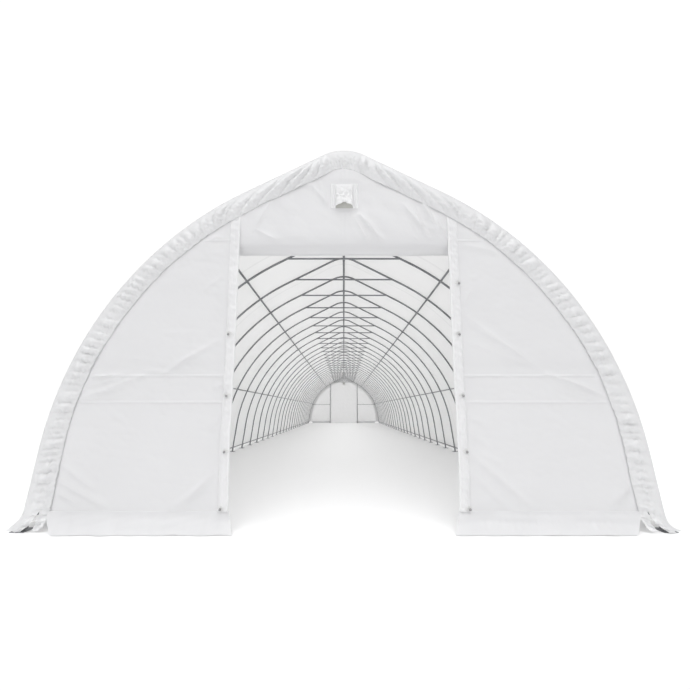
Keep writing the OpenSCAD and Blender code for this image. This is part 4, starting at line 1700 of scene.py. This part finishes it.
    def sleeve(self) -> Shape:
        """The sleeve of the lower bar: a tube that sags a little between its ends."""
        x = np.linspace(-self.bar_half, self.bar_half, 120)
        path = stacked(x, -END_Y - 0.026, self.bar_z)
        return tube(path, self.sleeve_r + self.sleeve_sag(self.seed, x), 14, ref=(0, 0, 1))

    def build(self, finishes: Finishes) -> None:
        """Makes the curtain, and at the rear the sleeve of its lower bar.

        Args:
            finishes: all materials.
        """
        rolled = self.end is End.FRONT
        nodes = ("curtain", "curtain_roll") if rolled else ("curtain",)
        skin = self.put("door_cloth", self.surface(), finishes.wall_cloth(self.end), Slot.COVER, *nodes)
        if rolled:
            return
        sleeve = self.put("bar_sleeve", self.sleeve(), finishes.hem, Slot.HEM, "curtain_bar")


@dataclass
class VentHood(GablePart):
    """The vent's hood: a cloth awning with welded flanges, open below, and the net behind it, whose grey is
    partly painted shade under the hood.
    """

    left: float = -0.214
    right: float = 0.229
    top_z: float = 5.378
    low_z: float = 4.947
    out: float = 0.075
    columns: tuple[tuple[float, float, int], ...] = (
        (0, 0.16, 21), (0.16, 0.24, 12), (0.24, 0.76, 44), (0.76, 0.84, 12), (0.84, 1, 21))
    rows: int = 60
    box: Pair = (0.165, 0.225)  # the cheeks rise between these shares of the width
    flange: float = 0.078  # width of a pipe of the flange, as a share of the hood's
    flange_height: float = 0.01
    crinkle: Ripple = Ripple(0, 1.0, 0.22, 0.4, 8)
    fine: Ripple = Ripple(1, 0.25, 0.09, 0.5, 12)
    crinkle_height: float = 0.016
    arch: float = 0.045
    net_in: float = 0.085
    net_h: float = 0.36
    net_stray: Ripple = Ripple(3, 0.0008, 0.14)

    def surface(self) -> Shape:
        """The hood: piped flanges at the sides, cheeks that widen downwards, and a crinkled front.

        Across, the height is a rounded box between the flanges; down, it grows nearly in a straight line.
        Each flange is two rounded pipes side by side, half a sine wave each.
        The lower edge rises in its middle by a half wave.

        Returns:
            The surface, facing the front.
        """
        u = np.concatenate([np.linspace(low, high, n)[:-1] for low, high, n in self.columns] + [[1.0]])
        w = np.linspace(0, 1, self.rows)[:, None]
        near = np.minimum(u, 1 - u)
        box = smooth(near, *self.box)
        x = self.left + (self.right - self.left) * u
        belly = 0.75 + 0.25 * np.sin(math.pi * np.clip((u - 0.13) / 0.74, 0, 1))
        crinkle = self.crinkle(self.seed, x, w * 0.5) + self.fine(self.seed, x, w * 0.5)
        stand = self.out * (0.1 + 0.9 * w) * smooth(w, 0.02, 0.12) * box * belly * (1 + 0.06 * crinkle)
        stand = stand + self.crinkle_height * ridged(crinkle, 0.01) * box * smooth(w, 0.05, 0.3)
        pipe = np.abs(np.sin(math.pi * np.clip(near / self.flange, 0, 2))) ** 0.7 * smooth(w, 0.0, 0.03)
        stand = stand + 0.0012 + self.flange_height * pipe
        arch = self.arch * np.sin(math.pi * np.clip((u - 0.17) / 0.66, 0, 1)) ** 0.8
        z = self.top_z - w * (self.top_z - self.low_z - arch) + 0.002 * crinkle * w * box
        return grid(stacked(x, -(WALL_Y + 0.0025 + stand), z), stacked(x, z))

    def net(self) -> Shape:
        """The vent's net behind the hood, flat on the curtain and a little wavy. Its grey shows under the
        hood's arched edge and is partly the net's own colour and partly painted shade, a grey sheet standing
        for the shade there.

        Returns:
            The net.
        """
        x = np.linspace(self.left + self.net_in, self.right - self.net_in, 30)
        z = self.low_z + 0.004 + self.net_h * (1 - np.linspace(0, 1, 24)[:, None])
        points = stacked(x, -(WALL_Y + 0.0032 + self.net_stray(self.seed, x, z)), z)
        return grid(points, points[..., [0, 2]])

    def build(self, finishes: Finishes) -> None:
        """Makes the hood and the net behind it.

        Args:
            finishes: all materials.
        """
        hood = self.put("vent_cloth", self.surface(), finishes.hood, Slot.HEM, "vent_hood")
        net = self.put("vent_net", self.net(), finishes.net, Slot.HEM)


# --- small steel ---

TO_X = np.array([[0, 0, 1], [0, 1, 0], [-1, 0, 0]])  # turns +Z to +X
TO_Y = np.array([[1, 0, 0], [0, 0, 1], [0, -1, 0]])  # turns +Z to +Y
X_TO_Y = np.array([[0, -1, 0], [1, 0, 0], [0, 0, 1]])  # turns +X to +Y
BOTH = (-1, 1)


def collar(radius: float, length: float, sides: int = 10) -> Shape:
    """A chamfered sleeve along X round a tube; its ends close down onto the tube."""
    half, bevel, thin = length / 2, 0.003, radius - 0.0018
    path = np.array([[-half, 0, 0], [bevel - half, 0, 0], [half - bevel, 0, 0], [half, 0, 0]], float)
    return tube(path, np.array([thin, radius, radius, thin]), sides, ref=(0, 0, 1))


def hexagon(radius: float, height: float) -> Shape:
    """A bolt's head or a nut, standing on the plane Z = 0."""
    return disc_stack([(0, 0), (radius, 0), (radius, 0.8 * height), (0.85 * radius, height), (0, height)], 6)


def bolt_across(reach: float, radius: float = 0.01, height: float = 0.007) -> Shape:
    """A bolt through a tube along Y: a head on one side, and a nut with the bolt's end on the other.

    Args:
        reach: the tube's radius; head and nut sink in by a millimetre.
        radius: of the head, to its corners.
        height: of the head.

    Returns:
        The head, the nut and the bolt's end.
    """
    sunk = reach - 0.001
    head = hexagon(radius, height).turned(TO_Y).moved((0, sunk, 0))
    end = disc_stack([(0, 0), (0.55 * radius, 0), (0.55 * radius, 1.7 * height), (0, 1.7 * height)], 8)
    nut = joined([hexagon(radius, height), end]).turned(TO_Y @ np.diag([1, -1, -1]))
    return joined([head, nut.moved((0, -sunk, 0))])


@dataclass(frozen=True)
class Crossing:
    """Where a tube along the hall crosses the arches."""

    arc: tuple[float, ...]  # distances from the ridge along the section
    radius: float
    clamped: bool = True  # by a collar on the arch and a bolt


@dataclass
class FrameFittings:
    """Clamps, sleeves, bolts and anchors of the frame; like parts are one piece."""

    clamp_r: float = 0.0252
    sleeve_long: float = 0.16
    sleeve_bolt: float = 0.045
    tie_z: float = 5.33
    tie_collar: float = 0.07
    bolt_reach: float = 0.0255
    socket_z: float = 0.08
    socket_reach: float = 0.0293
    purlin_turn: Pair = (36.5, 67.0)  # degrees of the bend at the purlins
    ground_z: float = 0.19
    clamp_long: Pair = (0.055, 0.075)  # on the arch and on the purlin
    clamp_wall: float = 0.003
    clamp_gap: float = 0.0003
    anchor_out: float = 0.075
    gable_rail_z: float = 2.402
    post_collar: Pair = (0.0274, 0.08)
    rail_collar: Pair = (0.0212, 0.06)
    rail_collar_x: float = 0.055
    post_top_off: float = -0.024
    post_top_drop: float = 0.045
    bearing_at: Pair = (1.7505, 0.09)  # from the middle, and in from the gable
    bearing: tuple[float, float, float] = (0.06, 0.125, 0.006)  # height, depth and thickness

    @staticmethod
    def on_arch(s: Array, skip: int = 0) -> tuple[Array, Array]:
        """Places and axes at distances s along the section, for every arch of the hall.

        The axes are: along the tube, along the hall, and outwards.

        Args:
            s: distances from the ridge, right side positive.
            skip: arches left out at either end.

        Returns:
            The (n, 3) places and (n, 3, 3) axes, arch after arch.
        """
        s = np.asarray(s, float)
        x, z = SECTION.at(s)
        nx, nz = SECTION.outwards(s)
        axes = stacked(stacked(nz, 0 * nx, -nx), np.array([0.0, 1.0, 0.0]), stacked(nx, 0 * nx, nz))
        arch_y = ARCH_Y[skip:ARCHES - skip, None]
        return stacked(x, arch_y, z).reshape(-1, 3), np.tile(axes, (len(arch_y), 1, 1))

    def crossings(self) -> list[Crossing]:
        """The ridge purlin, the upper purlins, the lower purlins and the ground rails.

        Returns:
            Where each of them crosses the arches.
        """
        turn = np.radians(self.purlin_turn) - SECTION.rafter_angle
        upper, lower = SECTION.s_rafter + SECTION.bend_r * turn
        ground = SECTION.s_at_height(self.ground_z)
        return [Crossing((0.0,), 0.03), Crossing((-upper, upper), 0.024), Crossing((-lower, lower), 0.019),
                Crossing((-ground, ground), 0.019, clamped=False)]

    def sleeves(self) -> tuple[Shape, Shape]:
        """Sleeves where tubes of an arch meet, collars where the ties join the rafters, and their bolts.

        Returns:
            The sleeves and collars, and the bolts.
        """
        bows = SECTION.s_rafter + SECTION.bend_r * BOW_TURN * np.arange(3)
        joints = np.array([SECTION.s_ridge, *bows, SECTION.s_bend])
        joints = np.concatenate([-joints, joints])
        top_x, top_z = SECTION.rafter_top
        down = math.hypot(float(SECTION.half_width(np.array(self.tie_z), 0.0)) - top_x, self.tie_z - top_z)
        ties = np.array([-1, 1]) * (down + SECTION.s_ridge)
        long = collar(self.clamp_r, self.sleeve_long).repeated(*self.on_arch(joints))
        short = collar(self.clamp_r, self.tie_collar).repeated(*self.on_arch(ties))
        bolt = bolt_across(self.bolt_reach)
        pair = joined([bolt.moved((k * self.sleeve_bolt, 0, 0)) for k in BOTH])
        bolts = joined([pair.repeated(*self.on_arch(joints, 1)), bolt.repeated(*self.on_arch(ties, 1))])
        return joined([long, short]), bolts

    def clamps(self) -> tuple[Shape, Shape]:
        """Cross clamps: a collar on the arch, one on the purlin and a bolt; also the socket bolts.

        Returns:
            The collars, and the bolts.
        """
        parts, bolts = [], []
        arch_long, purlin_long = self.clamp_long
        for crossing in self.crossings():
            s, r = np.array(crossing.arc), crossing.radius
            part = collar(r + self.clamp_wall, purlin_long).turned(X_TO_Y)
            part = part.moved((0, 0, -(TUBE_R + r + self.clamp_gap)))
            if crossing.clamped:
                part = joined([collar(self.clamp_r, arch_long), part])
                bolts.append(bolt_across(self.bolt_reach).repeated(*self.on_arch(s, 1)))
            parts.append(part.repeated(*self.on_arch(s)))
        socket = np.array([-1, 1]) * SECTION.s_at_height(self.socket_z)
        bolts.append(bolt_across(self.socket_reach).repeated(*self.on_arch(socket, 1)))
        return joined(parts), joined(bolts)

    def anchors(self) -> Shape:
        """Anchor bolts in the holes of every base plate: a washer, a nut and the bolt's end.

        Returns:
            All of them.
        """
        one = joined([
            disc_stack([(0, 0.008), (0.018, 0.008), (0.018, 0.011), (0, 0.011)], 12),
            hexagon(0.0155, 0.014).moved((0, 0, 0.011)),
            disc_stack([(0, 0.001), (0.008, 0.001), (0.008, 0.037), (0.0065, 0.039), (0, 0.039)], 8),
        ])
        plates = [(k * SECTION.foot_x, y) for y in ARCH_Y for k in BOTH]
        plates += [(k * POST_X, j * POST_Y) for j in BOTH for k in BOTH]
        return one.repeated(np.array([(x, y + j * self.anchor_out, 0.0) for x, y in plates for j in BOTH]))

    def posts(self) -> tuple[Shape, Shape]:
        """Collars where rails and arches meet the door posts, their bolts, and the front roll's bearings.

        Returns:
            The collars with the bearings, and the bolts.
        """
        top_z = float(SECTION.height(np.array(POST_X), self.post_top_off)) - self.post_top_drop
        upright = collar(*self.post_collar).turned(TO_X.T)
        rail = collar(*self.rail_collar).moved((self.rail_collar_x, 0, 0))
        low, high = (0, 0, self.gable_rail_z), (0, 0, top_z)
        bracket = joined([upright.moved(low), rail.moved(low), upright.moved(high)])
        bolt = hexagon(0.01, 0.008).turned(TO_Y).moved((0, 0.026, 0))
        bolt = joined([bolt.moved(low), bolt.moved(high)])
        flips = [np.diag([side.value, end.value, 1.0]) for end in End for side in Side]
        brackets, bolts = (joined([part.moved((POST_X, -POST_Y, 0)).turned(flip) for flip in flips])
                           for part in (bracket, bolt))
        high, deep, thick = self.bearing
        corner, half = 0.5**0.5, thick / 2
        box = disc_stack([(0, -half), (corner, -half), (corner, half), (0, half)], 4, math.pi / 4)
        plate = box.turned(TO_X @ np.diag([high, deep, 1.0]))
        x, inside = self.bearing_at
        return joined([brackets, *(plate.moved((k * x, inside - END_Y, ROLL_Z)) for k in BOTH)]), bolts

    def build(self, finishes: Finishes) -> None:
        """Makes the fittings.

        Args:
            finishes: all materials.
        """
        sleeves, sleeve_bolts = self.sleeves()
        clamps, clamp_bolts = self.clamps()
        brackets, bracket_bolts = self.posts()
        piece("tube_sleeves", sleeves, finishes.steel, Slot.STEEL)
        piece("purlin_clamps", clamps, finishes.steel, Slot.STEEL)
        piece("gable_brackets", brackets, finishes.steel, Slot.STEEL)
        bolts = joined([sleeve_bolts, clamp_bolts, bracket_bolts])
        piece("frame_bolts", bolts, finishes.bolts, Slot.STEEL, flat_shaded=True)
        piece("anchor_bolts", self.anchors(), finishes.bolts, Slot.STEEL, flat_shaded=True)


# --- setting ---


@dataclass
class Studio:
    """Floor, light and camera."""

    eye_z: float = 1.72
    back: float = 5.06  # distance of the eye from the front arch
    pitch: float = math.radians(7.3)
    focal_px: float = 334.0
    frame_px: float = 690.0
    shift_px: Pair = (1.2, 21.9)
    sensor: float = 36.0
    clip: Pair = (0.05, 400.0)
    floor_half: float = 160.0
    surround: Pair = (1.05, 0.35)  # strength for the eye and for lighting

    def camera(self) -> None:
        """Sets the camera on the hall's middle line, at eye height, looking slightly up."""
        data = bpy.data.cameras.new("camera")
        data.sensor_width = self.sensor
        data.lens = self.sensor * self.focal_px / self.frame_px
        data.shift_x, data.shift_y = (shift / self.frame_px for shift in self.shift_px)
        data.clip_start, data.clip_end = self.clip
        eye = bpy.context.scene.camera = self.linked(data, "camera")
        eye.location = (0.0, -END_Y - self.back, self.eye_z)
        eye.rotation_euler = (math.pi / 2 + self.pitch, 0.0, 0.0)

    @staticmethod
    def linked(data: bpy.types.ID, name: str) -> Object:
        """A new object with this data, in the scene."""
        obj = bpy.data.objects.new(name, data)
        bpy.context.scene.collection.objects.link(obj)
        return obj

    def floor(self) -> None:
        """Lays a wide plain floor."""
        size = self.floor_half
        mesh = bpy.data.meshes.new("floor")
        corners = [(-size, -size, 0), (size, -size, 0), (size, size, 0), (-size, size, 0)]
        mesh.from_pydata(corners, [], [(0, 1, 2, 3)])
        mat, make = new_material("floor")
        skin = make.add("BsdfPrincipled", Base_Color=(0.96, 0.96, 0.96, 1.0), Roughness=0.9)
        make.add("OutputMaterial", Surface=skin.outputs[0])
        mesh.materials.append(mat)
        self.linked(mesh, "floor")

    def world(self) -> None:
        """A white surround, darker for lighting than for the eye."""
        for_eye, for_light = self.surround
        world = bpy.data.worlds.new("surround")
        bpy.context.scene.world = world
        world.use_nodes = True
        make = Nodes(world.node_tree)
        eye = make.add("LightPath").outputs["Is Camera Ray"]
        seen = make.add("Background", Color=(1.0, 1.0, 1.0, 1.0), Strength=for_eye)
        cast = make.add("Background", Color=(0.985, 0.985, 1.0, 1.0), Strength=for_light)
        mix = make.add("MixShader", Fac=eye, i1=cast.outputs[0], i2=seen.outputs[0])
        make.add("OutputWorld", Surface=mix.outputs[0])

    def lamp(self, name: str, kind: str, energy: float, **looks: object) -> Object:
        """Adds a light.

        Args:
            name: its name.
            kind: SUN or AREA.
            energy: strength of a sun, or watts of an area.
            looks: other settings of the light.

        Returns:
            The light's object.
        """
        data = bpy.data.lights.new(name, kind)
        data.energy = energy
        for key, value in looks.items():
            setattr(data, key, value)
        return self.linked(data, name)

    def light(self) -> None:
        """A wide soft sun, fills from the rear and inside, and bounces for light through several cloths."""
        sun = self.lamp("sun", "SUN", 2.4, angle=math.radians(70))
        sun.rotation_euler = (math.radians(22), math.radians(-3), 0.0)
        rear = self.lamp("rear_fill", "SUN", 1.2, angle=math.radians(60))
        rear.rotation_euler = (math.radians(-72), 0.0, 0.0)
        inside = self.lamp("inside_fill", "AREA", 95.0, shape="RECTANGLE", size=2.4, size_y=37.0,
                           spread=math.radians(95))
        inside.location, inside.visible_camera = (0.0, 0.0, 4.75), False

        scene = bpy.context.scene
        scene.view_settings.view_transform = "Standard"
        scene.view_settings.look = "None"
        scene.cycles.max_bounces = 16
        scene.cycles.diffuse_bounces = scene.cycles.transmission_bounces = 8

    def build(self) -> None:
        """Makes the whole setting."""
        self.camera()
        self.floor()
        self.world()
        self.light()


def dress_steel(finishes: Finishes) -> None:
    """Gives the frame's construction nodes their steel.

    Args:
        finishes: all materials.
    """
    for name in ("base_plates", "legs", "lower_bows", "middle_bows", "upper_bows", "rafters", "ridge_bends",
                 "collar_ties", "ridge_purlin", "upper_purlins", "lower_purlins", "ground_rails",
                 "front_door_posts", "front_gable_rails", "rear_door_posts", "rear_gable_rails",
                 "front_roll_tube"):
        for slot in bpy.data.objects[name].material_slots:
            slot.material = finishes.steel


def main() -> None:
    """Builds the setting and the hall, from the frame outwards."""
    logging.basicConfig(level=logging.INFO, format="%(name)s: %(message)s")
    Studio().build()
    finishes = Finishes()
    dress_steel(finishes)
    FrameFittings().build(finishes)
    RoofCover().build(finishes)
    for end in End:
        rear = end is End.REAR
        HemBand(end, seed=40 + 100 * rear).build(finishes)
        for side in Side:
            right = side is Side.RIGHT
            GableWall(end, 60 + 20 * right + 100 * rear, side).build(finishes)
            DoorHem(end, 200 + 20 * right + 40 * rear, side).build(finishes)
        DoorCurtain(end, seed=300 + 40 * rear).build(finishes)
        VentHood(end, seed=400 + 40 * rear).build(finishes)


if __name__ == "__main__":
    main()
